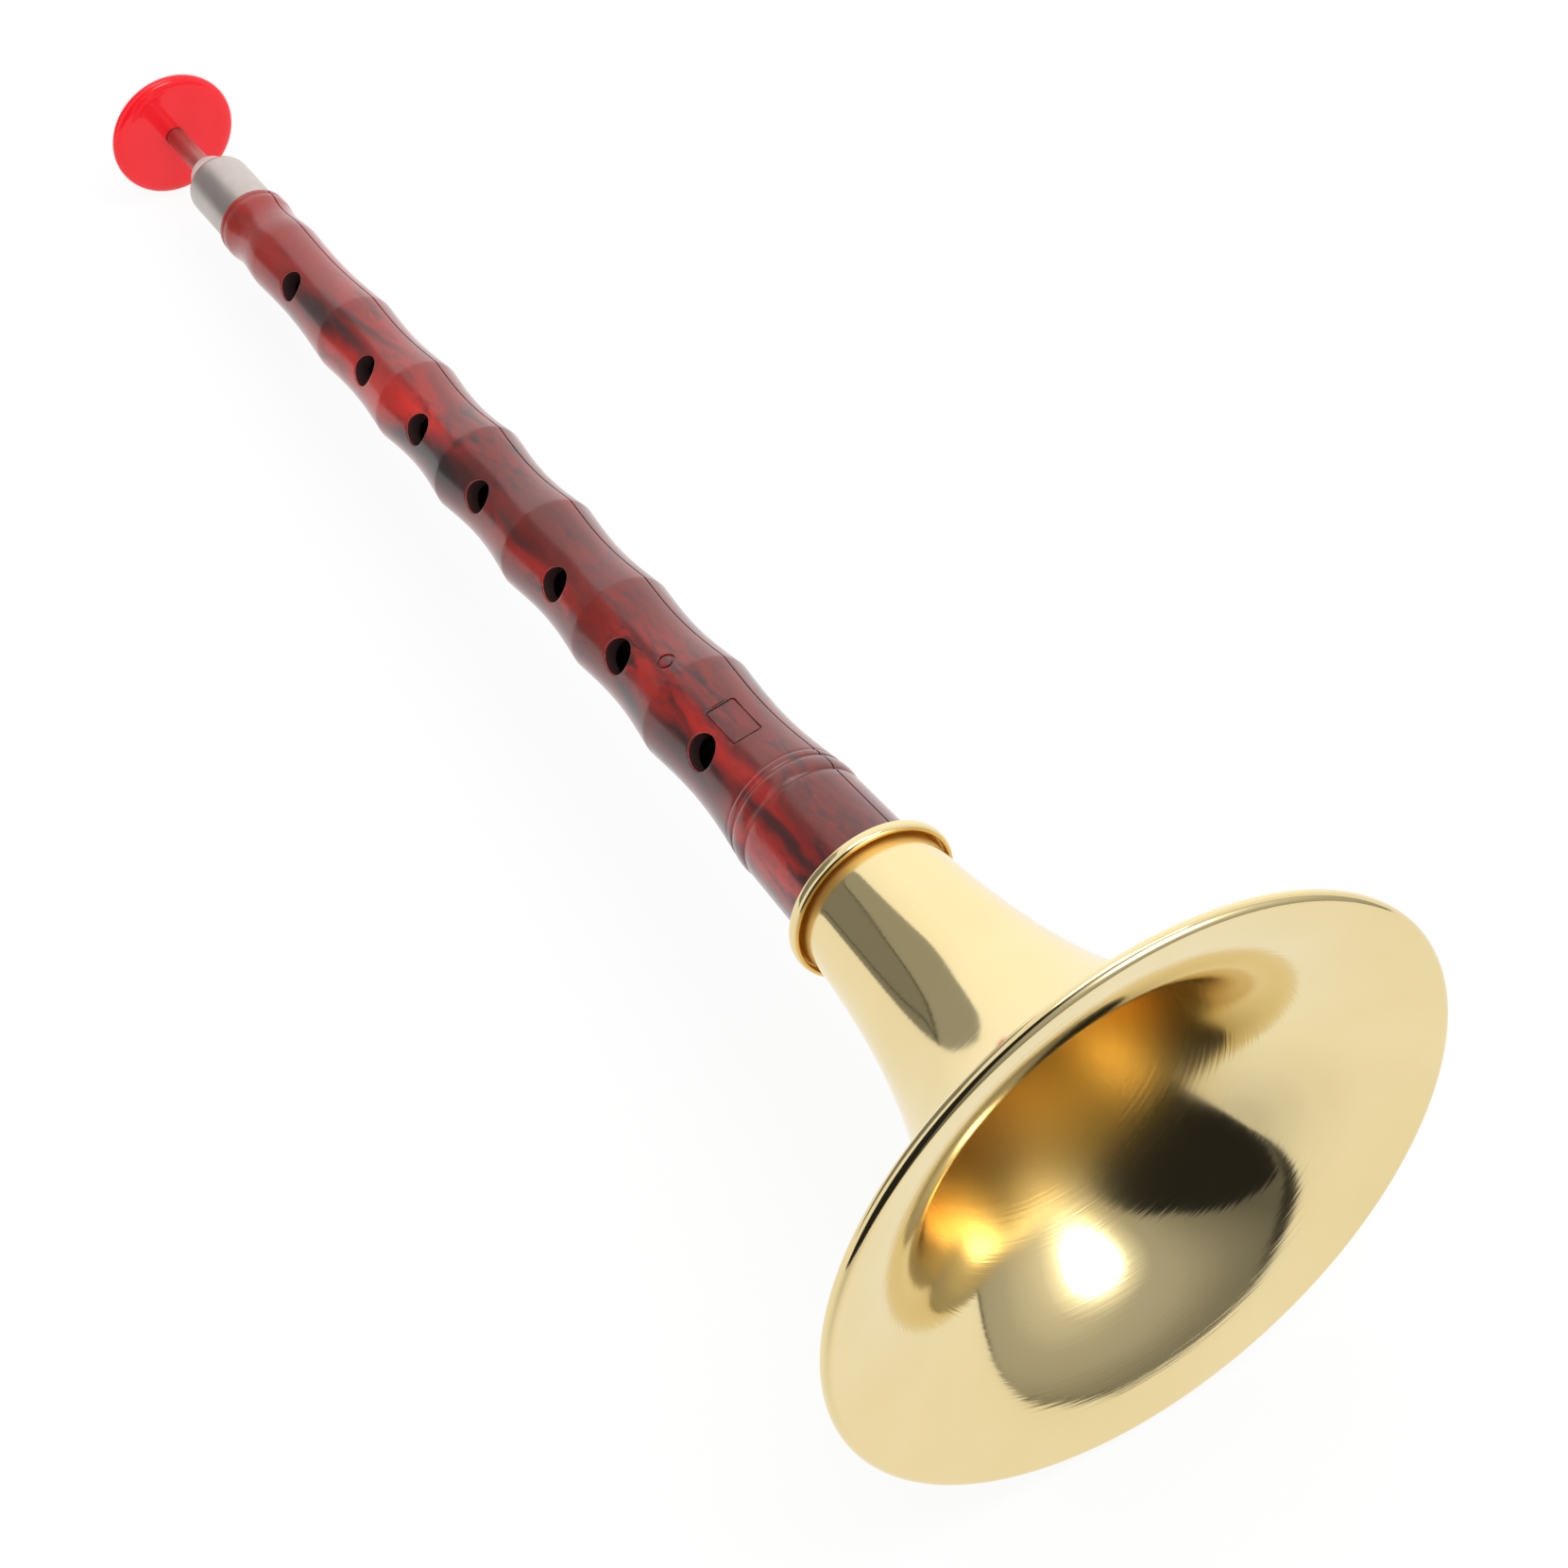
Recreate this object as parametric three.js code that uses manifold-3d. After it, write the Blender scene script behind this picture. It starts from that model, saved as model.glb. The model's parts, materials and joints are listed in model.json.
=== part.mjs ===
// A small suona: a conical pipe in two glued halves, a spun brass bell, a metal ferrule,
// a staple with its stopper, a lip disc and a reed. It lies on its bell rim and its lip disc.
// All lengths are millimetres. A station is a distance from the mouth plane along the
// instrument's axis, toward the reed. An outline is a list of [radius, station] points.
import * as THREE from 'three';
import { mergeVertices } from 'three/addons/utils/BufferGeometryUtils.js';
import Module from 'manifold-3d';

const wasm = await Module();
wasm.setup();

// Bell: a spun sheet with a rolled rim at the mouth and a rolled collar at the neck. Angles
// in degrees say where the sheet's edge ends. The collar curls out and hangs open, with its
// edge clear of the neck.
const rimRadius = 60;
const rimBead = 2.6;
const rimWire = 0.9;
const bellSheet = 0.6;
const bellLength = 74.7;
const neckRadius = 14.5;
const collarRadius = 16.35;
const collarRise = 3.5;
const collarHang = 0.35;
const rimCurlEnd = 170;
const collarCurlEnd = -60;

// The flare falls from the rim to the neck as two exponentials of the bell's length
const flareShares = { slow: 0.75, slowReach: 0.37, quickReach: 0.048 };

// Pipe: straight foot, band, seven bays between ridges, head, and tenon for the ferrule
const pipeTuck = 12.7;
const straightLength = 41.8;
const ridgedLength = 200.6;
const headLength = 14.9;
const tenonLength = 11;
const footRadius = 13;
const bandRadius = 12.29;
const topRidgeRadius = 8.08;
const waistRadius = 7.4;
const flangeRadius = 7.98;
const baySag = 1.05;
const bandHeight = 4.4;
const bandRelief = 0.25;
const seamGap = 0.2;

// Ridges from the band to the head: place along the ridged length, radius between the
// top ridge and the band, and the depth of the bay above each ridge
const ridgeShares = [
  [0, 1, 1.04], [0.1579, 0.805, 0.96], [0.2945, 0.613, 0.96], [0.4316, 0.53, 1.08],
  [0.5697, 0.404, 0.96], [0.6983, 0.316, 0.74], [0.8334, 0.188, 0.72], [1, 0, 0],
];
// Band: place in units of its height above its lower groove, relief in units of its relief
const bandShares = [
  [-0.1, 0], [0, -0.9], [0.1, 0], [0.3, 0.8], [0.5, 1], [0.7, 0.8], [0.9, 0], [1, -0.9],
  [1.1, 0], [1.3, 0.2], [1.42, -0.4], [1.55, 0],
];
// Head: place along its length, radius between the waist and the flange
const headShares = [
  [0.14, 0.72], [0.3, 0.25], [0.48, 0], [0.62, 0.25], [0.74, 0.8], [0.8, 1], [0.86, 1],
  [0.89, 0.7], [0.92, 0.95], [0.97, 0.95], [1, 0.55],
];
const bayRoundness = 1.05;
const bayPoints = 4;

// Bore and holes
const boreFootRadius = 9.4;
const socketRadius = 3.9;
const socketDepth = 26;
const holeDiameter = 6.6;
// Finger holes from the reed end: place along the ridged length, and diameter
const fingerHoleShares = [
  [0.9189, 0.94], [0.7455, 0.955], [0.6314, 0.97], [0.5065, 0.985],
  [0.3514, 1.015], [0.2312, 1.03], [0.0789, 1.045],
];
const thumbHoleShares = [0.8285, 0.97];
const holeTurn = -51;
const seamTurn = 34;

// Plain sunk marks on the front half
const markDepth = 0.3;
const panelLength = 10;
const panelWidth = 6.2;
const panelCorner = 0.7;
const panelPlaceShare = 0.0783;
const panelTurn = -7;
const ringMarkRadius = 1.8;
const ringMarkWidth = 0.6;
const ringPlaceShare = 0.1789;
const ringTurn = -17;

// Cork on the foot, which grips the bell's neck
const corkLength = 10;
const corkLift = 1;
const corkGroove = 0.6;

// Ferrule over the pipe's tenon. Its top edge turns in: how far, and how far down it starts
const ferruleRadius = 7;
const ferruleWall = 0.6;
const ferruleLength = 17.8;
const lipReach = 1.5;
const lipDrop = 1.6;
// Turned edge: reach toward the axis and drop below the top
const lipShares = [[0, 1], [0.1, 0.62], [0.37, 0.25], [0.77, 0], [1, 0]];

// Staple, its cork wrap and its stopper
const stapleTipRadius = 1.95;
const stapleFootRadius = 2.9;
const stapleLength = 68;
const stapleWall = 0.35;
const staplePastDisc = 7.2;
// Cork wrap: where it starts and ends along the staple
const wrapShares = [0.06, 0.38];
const plugHeight = 5.7;
const plugStem = 4;
// Stopper: radius and height above the ferrule
const plugShares = [[1, 0], [0.97, 0.28], [0.9, 0.5], [0.79, 0.74], [0.67, 0.92], [0.56, 1]];

// Lip disc
const discRadius = 14.1;
const discThickness = 3;
const discGapFromFerrule = 22.9;

// Reed and its wire binding
const reedLength = 12.8;
const reedBase = 4;
const reedRadius = 2.75;
const reedTipHalfWidth = 4.2;
const reedTipHalfDepth = 0.9;
const reedWall = 0.45;
const reedLift = 2.2;
const reedTurn = 40.9;
const bindingWire = 0.4;
const bindingPitch = 0.85;
const bindingTurns = 4;
// Places of the reed's rings along its length
const reedShares = [0, 0.31, 0.43, 0.56, 0.7, 0.85, 1];

// Clearances
const seatGap = 0.3;
const fitGap = 0.2;
const wireGap = 0.12;
const overrun = 5;

// Facets round each kind of piece, and steps in the rolled edges
const bellSides = 48;
const pipeSides = 32;
const fittingSides = 32;
const stapleSides = 20;
const holeSides = 16;
const flareSteps = 12;
const curlSteps = 6;
const hangSteps = 2;
const cornerSteps = 4;
const loopSteps = 24;
const wireSides = 6;

// Stations that follow from the sizes above
const neckStation = bellLength;
const collarStation = neckStation + collarRise;
const footStation = neckStation - pipeTuck;
const bandStation = footStation + straightLength;
const topRidgeStation = bandStation + ridgedLength;
const headStation = topRidgeStation + headLength;
const tenonStation = headStation + tenonLength;
const socketStation = headStation - socketDepth;
const ferruleStation = headStation + seatGap;
const ferruleTop = ferruleStation + ferruleLength;
const discStation = ferruleTop + discGapFromFerrule;
const stapleTip = discStation + staplePastDisc;
const stapleFoot = stapleTip - stapleLength;
const reedStation = discStation + discThickness / 2 + reedLift;

// Radii that pieces share
const sheetEdgeRadius = rimRadius - rimBead / 2;
const sheetEdgeStation = bellSheet - rimBead / 2;
const neckThroat = neckRadius - bellSheet;
const collarReach = (collarRadius - neckThroat) / 2;
const collarTop = collarStation + collarReach;
const ferruleBore = ferruleRadius - ferruleWall;
const lipBore = ferruleRadius - lipReach;
const plugRadius = lipBore - fitGap;

const toRadians = THREE.MathUtils.degToRad;
const mix = THREE.MathUtils.lerp;

// Arc in the outline plane round [radius, station], with angles in degrees
function arc(radius, station, reach, from, to, steps) {
  return Array.from({ length: steps + 1 }, (_, i) => {
    const angle = toRadians(mix(from, to, i / steps));
    return [radius + reach * Math.cos(angle), station + reach * Math.sin(angle)];
  });
}

// Geometry turned about the instrument's axis, with a flat facing straight down when it lies
function revolve(outline, sides) {
  const points = outline.map(([radius, station]) => new THREE.Vector2(radius, station));
  if (THREE.ShapeUtils.area(points) < 0) points.reverse();
  points.push(points[0].clone());
  const geometry = new THREE.LatheGeometry(points, sides, Math.PI / sides);
  return geometry.rotateX(Math.PI / 2);
}

function toSolid(geometry) {
  const bare = new THREE.BufferGeometry();
  bare.setAttribute('position', geometry.getAttribute('position'));
  bare.setIndex(geometry.getIndex());
  const merged = mergeVertices(bare);
  return new wasm.Manifold(new wasm.Mesh({
    numProp: 3,
    vertProperties: new Float32Array(merged.getAttribute('position').array),
    triVerts: new Uint32Array(merged.getIndex().array),
  }));
}

function toGeometry(solid) {
  const { vertProperties, triVerts } = solid.getMesh();
  const geometry = new THREE.BufferGeometry();
  geometry.setAttribute('position', new THREE.BufferAttribute(vertProperties, 3));
  geometry.setIndex(new THREE.BufferAttribute(triVerts, 1));
  geometry.computeVertexNormals();
  return geometry;
}

function material(color, roughness, metalness) {
  return new THREE.MeshStandardMaterial({ color, roughness, metalness });
}

// Materials
const marbledPlastic = material('#7c2320', 0.25, 0);
const brass = material('#e6d39a', 0.18, 1);
const nickel = material('#bcb4a8', 0.4, 1);
const copper = material('#a8706a', 0.35, 1);
const whitePlastic = material('#d2cdc4', 0.5, 0);
const redPlastic = material('#f2303e', 0.15, 0);
const cork = material('#b98a5c', 0.9, 0);
const cane = material('#d8be84', 0.7, 0);

function piece(name, geometry, finish) {
  const mesh = new THREE.Mesh(geometry, finish);
  mesh.name = name;
  return mesh;
}

// Bell

const flareDepth = neckStation - sheetEdgeStation;

// Outer radius of the bell's sheet at a share of the way from its edge to the neck
function flareRadius(share) {
  const { slow, slowReach, quickReach } = flareShares;
  const fall = (t) => slow * Math.exp(-t / slowReach) + (1 - slow) * Math.exp(-t / quickReach);
  const rest = (neckRadius - sheetEdgeRadius * fall(1)) / (1 - fall(1));
  return rest + (sheetEdgeRadius - rest) * fall(share);
}

// Points of the sheet's back, bunched toward the rim where it curves most
function flareBack() {
  return Array.from({ length: flareSteps + 1 }, (_, i) => {
    const share = (i / flareSteps) ** 2;
    return [flareRadius(share), sheetEdgeStation + share * flareDepth];
  });
}

// The same curve moved square to itself by the sheet's thickness, toward the mouth
function offsetCurve(curve, distance) {
  return curve.map(([radius, station], i) => {
    const [r0, s0] = curve[Math.max(i - 1, 0)];
    const [r1, s1] = curve[Math.min(i + 1, curve.length - 1)];
    const length = Math.hypot(r1 - r0, s1 - s0);
    return [radius - distance * (s1 - s0) / length, station + distance * (r1 - r0) / length];
  });
}

// Rolled rim: the sheet turns back round a hollow that holds the wire
function rimCurl() {
  const outside = arc(sheetEdgeRadius, 0, rimBead / 2, -90, rimCurlEnd, curlSteps + 1);
  const inside = arc(sheetEdgeRadius, 0, rimBead / 2 - bellSheet, rimCurlEnd, -90, curlSteps - 1);
  return { outside, inside };
}

// Collar: the sheet curls over, away from the pipe, and hangs open round the neck
function collarCurl() {
  const centre = collarRadius - collarReach;
  const low = collarStation - collarHang;
  const hollow = collarReach - bellSheet;
  const inside = [
    ...arc(centre, collarStation, hollow, 180, 0, curlSteps - 1),
    ...arc(centre, low, hollow, 0, collarCurlEnd, hangSteps),
  ];
  const outside = [
    ...arc(centre, low, collarReach, collarCurlEnd, 0, hangSteps),
    ...arc(centre, collarStation, collarReach, 0, 180, curlSteps + 1),
  ];
  return { outside, inside };
}

function bellShell() {
  const rim = rimCurl();
  const collar = collarCurl();
  const back = flareBack();
  const front = offsetCurve(back, bellSheet).reverse();
  const outline = [
    ...rim.outside, ...rim.inside.slice(0, -1), ...back, ...collar.inside, ...collar.outside,
    ...front.slice(0, -1),
  ];
  return piece('bell_shell', revolve(outline, bellSides), brass);
}

function bellRimWire() {
  const outline = arc(sheetEdgeRadius, 0, rimWire / 2, 0, 360, wireSides).slice(0, -1);
  return piece('bell_rim_wire', revolve(outline, bellSides), brass);
}

// Pipe

// Radius of the ridged length, with a rounded hollow between each two ridges
function bayRadius(share) {
  const next = Math.max(1, ridgeShares.findIndex(([place]) => place >= share));
  const [from, fromWidth, depth] = ridgeShares[next - 1];
  const [to, toWidth] = ridgeShares[next];
  const along = (share - from) / (to - from);
  const width = mix(topRidgeRadius, bandRadius, mix(fromWidth, toWidth, along));
  return width - baySag * depth * Math.sin(Math.PI * along) ** bayRoundness;
}

// Outer radius of the pipe from its foot to the top ridge, without the band's relief
function pipeRadius(station) {
  if (station <= collarTop) return footRadius;
  if (station >= bandStation) return bayRadius((station - bandStation) / ridgedLength);
  return mix(footRadius, bandRadius, (station - collarTop) / (bandStation - collarTop));
}

const corkTop = neckStation + corkLift;
const corkFoot = corkTop - corkLength;

// Groove in the foot where the cork sits
function footOutline() {
  const floor = footRadius - corkGroove;
  return [
    [footRadius, footStation], [footRadius, corkFoot - seatGap], [floor, corkFoot - seatGap],
    [floor, corkTop + seatGap], [footRadius, corkTop + seatGap], [footRadius, collarTop],
  ];
}

function bandOutline() {
  return bandShares.map(([place, relief]) => {
    const station = bandStation - bandHeight * (1 - place);
    return [pipeRadius(station) + bandRelief * relief, station];
  });
}

function bayOutline() {
  const points = [];
  for (let bay = 1; bay < ridgeShares.length; bay += 1) {
    for (let i = 0; i < bayPoints; i += 1) {
      const share = mix(ridgeShares[bay - 1][0], ridgeShares[bay][0], i / bayPoints);
      points.push([bayRadius(share), bandStation + share * ridgedLength]);
    }
  }
  const bandTop = bandOutline().at(-1)[1];
  return [...points.filter(([, station]) => station > bandTop), [topRidgeRadius, topRidgeStation]];
}

function headOutline() {
  return headShares.map(([place, width]) => [
    mix(waistRadius, flangeRadius, width), topRidgeStation + place * headLength,
  ]);
}

function pipeBody() {
  const tenonRadius = ferruleBore - fitGap;
  return toSolid(revolve([
    ...footOutline(), ...bandOutline(), ...bayOutline(), ...headOutline(),
    [tenonRadius, headStation], [tenonRadius, tenonStation], [socketRadius, tenonStation],
    [socketRadius, socketStation], [boreFootRadius, footStation],
  ], pipeSides));
}

// Moves a cutter that points along +X from the axis to its turn and its place on the pipe
function placeOnPipe(geometry, turn, share) {
  return geometry.rotateZ(toRadians(turn)).translate(0, 0, bandStation + share * ridgedLength);
}

// Round cutter from the axis out through one wall
function holeCutter([share, width], turn) {
  const reach = bandRadius + overrun;
  const radius = holeDiameter * width / 2;
  const rod = new THREE.CylinderGeometry(radius, radius, reach, holeSides);
  return toSolid(placeOnPipe(rod.rotateZ(-Math.PI / 2).translate(reach / 2, 0, 0), turn, share));
}

// Layer of the pipe's skin, as deep as the marks are sunk
function markSkin() {
  const stations = bayOutline().map(([, station]) => station);
  const floor = stations.map((station) => [pipeRadius(station) - markDepth, station]);
  const inside = floor.map(([radius, station]) => [radius / 2, station]).reverse();
  return toSolid(revolve([...floor, ...inside], pipeSides));
}

// Prism that stands out of the pipe, from a flat shape of width by length
function markPrism(shape, turn, share) {
  const depth = bandRadius + overrun;
  const prism = new THREE.ExtrudeGeometry(shape, {
    depth, bevelEnabled: false, curveSegments: cornerSteps,
  });
  return toSolid(placeOnPipe(prism.rotateY(Math.PI / 2), turn, share));
}

function panelShape() {
  const x = panelLength / 2;
  const y = panelWidth / 2;
  const c = panelCorner;
  const shape = new THREE.Shape();
  shape.moveTo(c - x, -y);
  shape.lineTo(x - c, -y).quadraticCurveTo(x, -y, x, c - y);
  shape.lineTo(x, y - c).quadraticCurveTo(x, y, x - c, y);
  shape.lineTo(c - x, y).quadraticCurveTo(-x, y, -x, y - c);
  shape.lineTo(-x, c - y).quadraticCurveTo(-x, -y, c - x, -y);
  return shape;
}

function ringShape() {
  const shape = new THREE.Shape();
  shape.absarc(0, 0, ringMarkRadius, 0, 2 * Math.PI);
  const core = new THREE.Path();
  core.absarc(0, 0, ringMarkRadius - ringMarkWidth, 0, 2 * Math.PI, true);
  shape.holes.push(core);
  return shape;
}

function markCutter() {
  return markPrism(panelShape(), panelTurn, panelPlaceShare)
    .add(markPrism(ringShape(), ringTurn, ringPlaceShare))
    .subtract(markSkin());
}

// Half space on one side of the seam, as a block that stops half a gap short of it
function seamBlock(side) {
  const width = 2 * (footRadius + overrun);
  const length = tenonStation - footStation + 2 * overrun;
  const block = new THREE.BoxGeometry(width, width, length);
  block.translate(0, side * (width + seamGap) / 2, (tenonStation + footStation) / 2);
  return toSolid(block.rotateZ(toRadians(seamTurn)));
}

function pipeHalves() {
  const fingerCutters = fingerHoleShares.map((hole) => holeCutter(hole, holeTurn));
  const thumbCutter = holeCutter(thumbHoleShares, holeTurn + 180);
  let body = pipeBody().subtract(thumbCutter).subtract(markCutter());
  for (const cutter of fingerCutters) body = body.subtract(cutter);
  const front = toGeometry(body.intersect(seamBlock(-1)));
  const rear = toGeometry(body.intersect(seamBlock(1)));
  return [
    piece('pipe_front_half', front, marbledPlastic),
    piece('pipe_rear_half', rear, marbledPlastic),
  ];
}

function footCork() {
  const inside = footRadius - corkGroove + fitGap;
  const outside = neckThroat - fitGap;
  return piece('foot_cork', revolve([
    [inside, corkFoot], [outside, corkFoot], [outside, corkTop], [inside, corkTop],
  ], pipeSides), cork);
}

// Sleeve over the tenon, whose turned edge closes in on the stopper
function ferrule() {
  const edge = lipShares.map(([reach, drop]) => [
    ferruleRadius - lipReach * reach, ferruleTop - lipDrop * drop,
  ]);
  return piece('ferrule', revolve([
    [ferruleBore, ferruleStation], [ferruleRadius, ferruleStation], ...edge,
    [lipBore, ferruleTop - ferruleWall], [ferruleBore, ferruleTop - lipDrop],
  ], fittingSides), nickel);
}

// Staple

function stapleRadius(station) {
  return mix(stapleFootRadius, stapleTipRadius, (station - stapleFoot) / stapleLength);
}

function stapleTube() {
  const inside = (station) => stapleRadius(station) - stapleWall;
  return piece('staple_tube', revolve([
    [stapleRadius(stapleFoot), stapleFoot], [stapleRadius(stapleTip), stapleTip],
    [inside(stapleTip), stapleTip], [inside(stapleFoot), stapleFoot],
  ], stapleSides), copper);
}

function stapleWrap() {
  const [foot, top] = wrapShares.map((share) => stapleFoot + share * stapleLength);
  const outside = socketRadius - fitGap;
  return piece('staple_wrap', revolve([
    [stapleRadius(foot) + wireGap, foot], [outside, foot],
    [outside, top], [stapleRadius(top) + wireGap, top],
  ], stapleSides), cork);
}

// Stopper: a round plug in the ferrule's turned edge, with a rounded top
function staplePlug() {
  const plugFoot = ferruleTop - plugStem;
  const cap = plugShares.map(([width, rise]) => [
    plugRadius * width, ferruleTop + plugHeight * rise,
  ]);
  const bore = stapleRadius(plugFoot) + wireGap;
  return piece('staple_plug', revolve([
    [bore, plugFoot], [plugRadius, plugFoot], ...cap, [bore, ferruleTop + plugHeight],
  ], fittingSides), whitePlastic);
}

function lipDisc() {
  const edge = discThickness / 2;
  const bore = stapleRadius(discStation - edge) + wireGap;
  return piece('lip_disc', revolve([
    ...arc(discRadius - edge, discStation, edge, -90, 90, curlSteps),
    [bore, discStation + edge], [bore, discStation - edge],
  ], pipeSides), redPlastic);
}

// Reed

// Half width and half depth of the reed's outside, from its round base to its flat tip
function reedSection(share) {
  const base = reedBase / reedLength;
  const flat = THREE.MathUtils.smoothstep(share, base, 1);
  const spread = Math.max(0, (share - base) / (1 - base));
  return [mix(reedRadius, reedTipHalfWidth, spread), mix(reedRadius, reedTipHalfDepth, flat)];
}

function reedRing(share, inset) {
  const [width, depth] = reedSection(share);
  return Array.from({ length: stapleSides }, (_, i) => {
    const angle = 2 * Math.PI * i / stapleSides;
    return [(width - inset) * Math.cos(angle), (depth - inset) * Math.sin(angle)];
  });
}

// Cane tube pressed flat toward its tip, as rings of points up its outside and down its inside
function reedBlade() {
  const up = reedShares.map((share) => [share, 0]);
  const down = reedShares.map((share) => [share, reedWall]).reverse();
  const rings = [...up, ...down];
  const positions = rings.flatMap(([share, inset]) =>
    reedRing(share, inset).flatMap(([x, y]) => [x, y, reedStation + share * reedLength]));
  const indices = [];
  for (let ring = 0; ring < rings.length; ring += 1) {
    const above = (ring + 1) % rings.length;
    for (let i = 0; i < stapleSides; i += 1) {
      const next = (i + 1) % stapleSides;
      const [a, b] = [ring * stapleSides + i, ring * stapleSides + next];
      const [c, d] = [above * stapleSides + i, above * stapleSides + next];
      indices.push(a, b, d, a, d, c);
    }
  }
  const geometry = new THREE.BufferGeometry();
  geometry.setAttribute('position', new THREE.Float32BufferAttribute(positions, 3));
  geometry.setIndex(indices);
  geometry.computeVertexNormals();
  return piece('reed_blade', geometry.rotateZ(toRadians(reedTurn)), cane);
}

// Wire wound round the reed's base
class Winding extends THREE.Curve {
  getPoint(t, target = new THREE.Vector3()) {
    const radius = reedRadius + wireGap + bindingWire / 2;
    const angle = 2 * Math.PI * bindingTurns * t;
    const rise = bindingWire + bindingPitch * bindingTurns * t;
    return target.set(radius * Math.cos(angle), radius * Math.sin(angle), reedStation + rise);
  }
}

// Least distance between the wire and itself, one turn or more away along it
function leastSelfGap(curve, steps) {
  const points = curve.getPoints(steps);
  const turn = Math.floor(steps / bindingTurns) - 1;
  let least = Infinity;
  points.forEach((point, i) => {
    for (let j = i + turn; j < points.length; j += 1) {
      least = Math.min(least, point.distanceTo(points[j]));
    }
  });
  return least - bindingWire;
}

function reedBinding() {
  const winding = new Winding();
  const steps = loopSteps * bindingTurns;
  console.log(`least gap of the reed binding to itself: ${leastSelfGap(winding, steps).toFixed(2)} mm`);
  const section = new THREE.Shape();
  for (let i = 0; i < wireSides; i += 1) {
    const angle = 2 * Math.PI * i / wireSides;
    const corner = [bindingWire / 2 * Math.cos(angle), bindingWire / 2 * Math.sin(angle)];
    if (i === 0) section.moveTo(...corner);
    else section.lineTo(...corner);
  }
  const options = { steps, extrudePath: winding, bevelEnabled: false };
  return piece('reed_binding', new THREE.ExtrudeGeometry(section, options), copper);
}

// The instrument stands along its axis, then is laid down on its rim and its lip disc
function layDown(instrument) {
  const rimReach = rimBead / 2;
  const discReach = discThickness / 2;
  const drop = (rimRadius - rimReach) - (discRadius - discReach);
  const slope = Math.atan2(drop, discStation);
  const tilt = slope + Math.asin((rimReach - discReach) / Math.hypot(drop, discStation));
  instrument.rotation.y = -(Math.PI / 2 + tilt);
  const whole = new THREE.Group().add(instrument);
  whole.updateMatrixWorld(true);
  const box = new THREE.Box3().setFromObject(whole, true);
  const centre = box.getCenter(new THREE.Vector3());
  instrument.position.set(-centre.x, -centre.y, -box.min.z);
  return whole;
}

const bell = new THREE.Group().add(bellShell(), bellRimWire());
const pipe = new THREE.Group().add(...pipeHalves(), footCork(), ferrule());
const staple = new THREE.Group().add(stapleTube(), stapleWrap(), staplePlug());
const reed = new THREE.Group().add(reedBlade(), reedBinding());
const suona = layDown(new THREE.Group().add(bell, pipe, staple, lipDisc(), reed));

export default suona;
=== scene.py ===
# A small suona on a white floor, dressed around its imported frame.
# Every piece is built in the instrument's own space and then laid down as the frame lies:
# z is the station, the distance from the bell's mouth plane toward the reed, and a turn is
# the angle round the axis, 0 where the instrument faces up as it lies. Lengths in this
# script are millimetres until a mesh is made. An outline is a list of (radius, station).
import json
import math

import bmesh
import bpy
from mathutils import Matrix, Vector


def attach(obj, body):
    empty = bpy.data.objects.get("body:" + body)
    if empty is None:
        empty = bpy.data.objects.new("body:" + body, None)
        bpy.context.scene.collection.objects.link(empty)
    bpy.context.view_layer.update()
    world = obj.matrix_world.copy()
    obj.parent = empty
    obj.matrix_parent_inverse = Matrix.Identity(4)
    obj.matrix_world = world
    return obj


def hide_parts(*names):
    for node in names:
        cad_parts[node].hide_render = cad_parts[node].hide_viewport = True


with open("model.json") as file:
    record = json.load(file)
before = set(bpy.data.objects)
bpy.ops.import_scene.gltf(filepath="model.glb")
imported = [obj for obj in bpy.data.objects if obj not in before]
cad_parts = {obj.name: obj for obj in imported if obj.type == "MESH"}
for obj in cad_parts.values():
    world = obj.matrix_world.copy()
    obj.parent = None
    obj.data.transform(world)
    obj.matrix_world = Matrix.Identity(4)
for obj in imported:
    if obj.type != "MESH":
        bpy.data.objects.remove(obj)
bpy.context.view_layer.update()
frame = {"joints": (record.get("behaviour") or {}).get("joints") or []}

MM = 0.001

# Bell
RIM_RADIUS = 60
RIM_BEAD = 2.6
BELL_SHEET = 0.6
BELL_LENGTH = 74.7
NECK_RADIUS = 14.5
COLLAR_RADIUS = 16.35
COLLAR_RISE = 3.5
COLLAR_HANG = 0.35
FLARE_SLOW_SHARE = 0.75
FLARE_SLOW_REACH_SHARE = 0.37
FLARE_QUICK_REACH_SHARE = 0.048
RIM_CURL_END = 170
COLLAR_CURL_END = -60
RIM_WIRE = 0.9
# Where the throat's painted shade and its rougher finish fade in
THROAT_STATIONS = (13, 31)

# Pipe
PIPE_TUCK = 12.7
STRAIGHT_LENGTH = 41.8
RIDGED_LENGTH = 200.6
HEAD_LENGTH = 14.9
TENON_LENGTH = 11
FOOT_RADIUS = 13
FOOT_EDGE = 0.4
BAND_RADIUS = 12.29
TOP_RIDGE_RADIUS = 8.08
WAIST_RADIUS = 7.4
FLANGE_RADIUS = 7.98
BAY_SAG = 1.05
BAND_HEIGHT = 4.4
BAND_RELIEF = 0.25
BAY_ROUNDNESS = 1.05
RIDGE_SHARES = [
    (0, 1, 1.04), (0.1579, 0.805, 0.96), (0.2945, 0.613, 0.96), (0.4316, 0.53, 1.08),
    (0.5697, 0.404, 0.96), (0.6983, 0.316, 0.74), (0.8334, 0.188, 0.72), (1, 0, 0),
]
BAND_SHARES = [
    (-0.1, 0), (0, -0.9), (0.1, 0), (0.3, 0.8), (0.5, 1), (0.7, 0.8), (0.9, 0), (1, -0.9),
    (1.1, 0), (1.3, 0.2), (1.42, -0.4), (1.55, 0),
]
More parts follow.
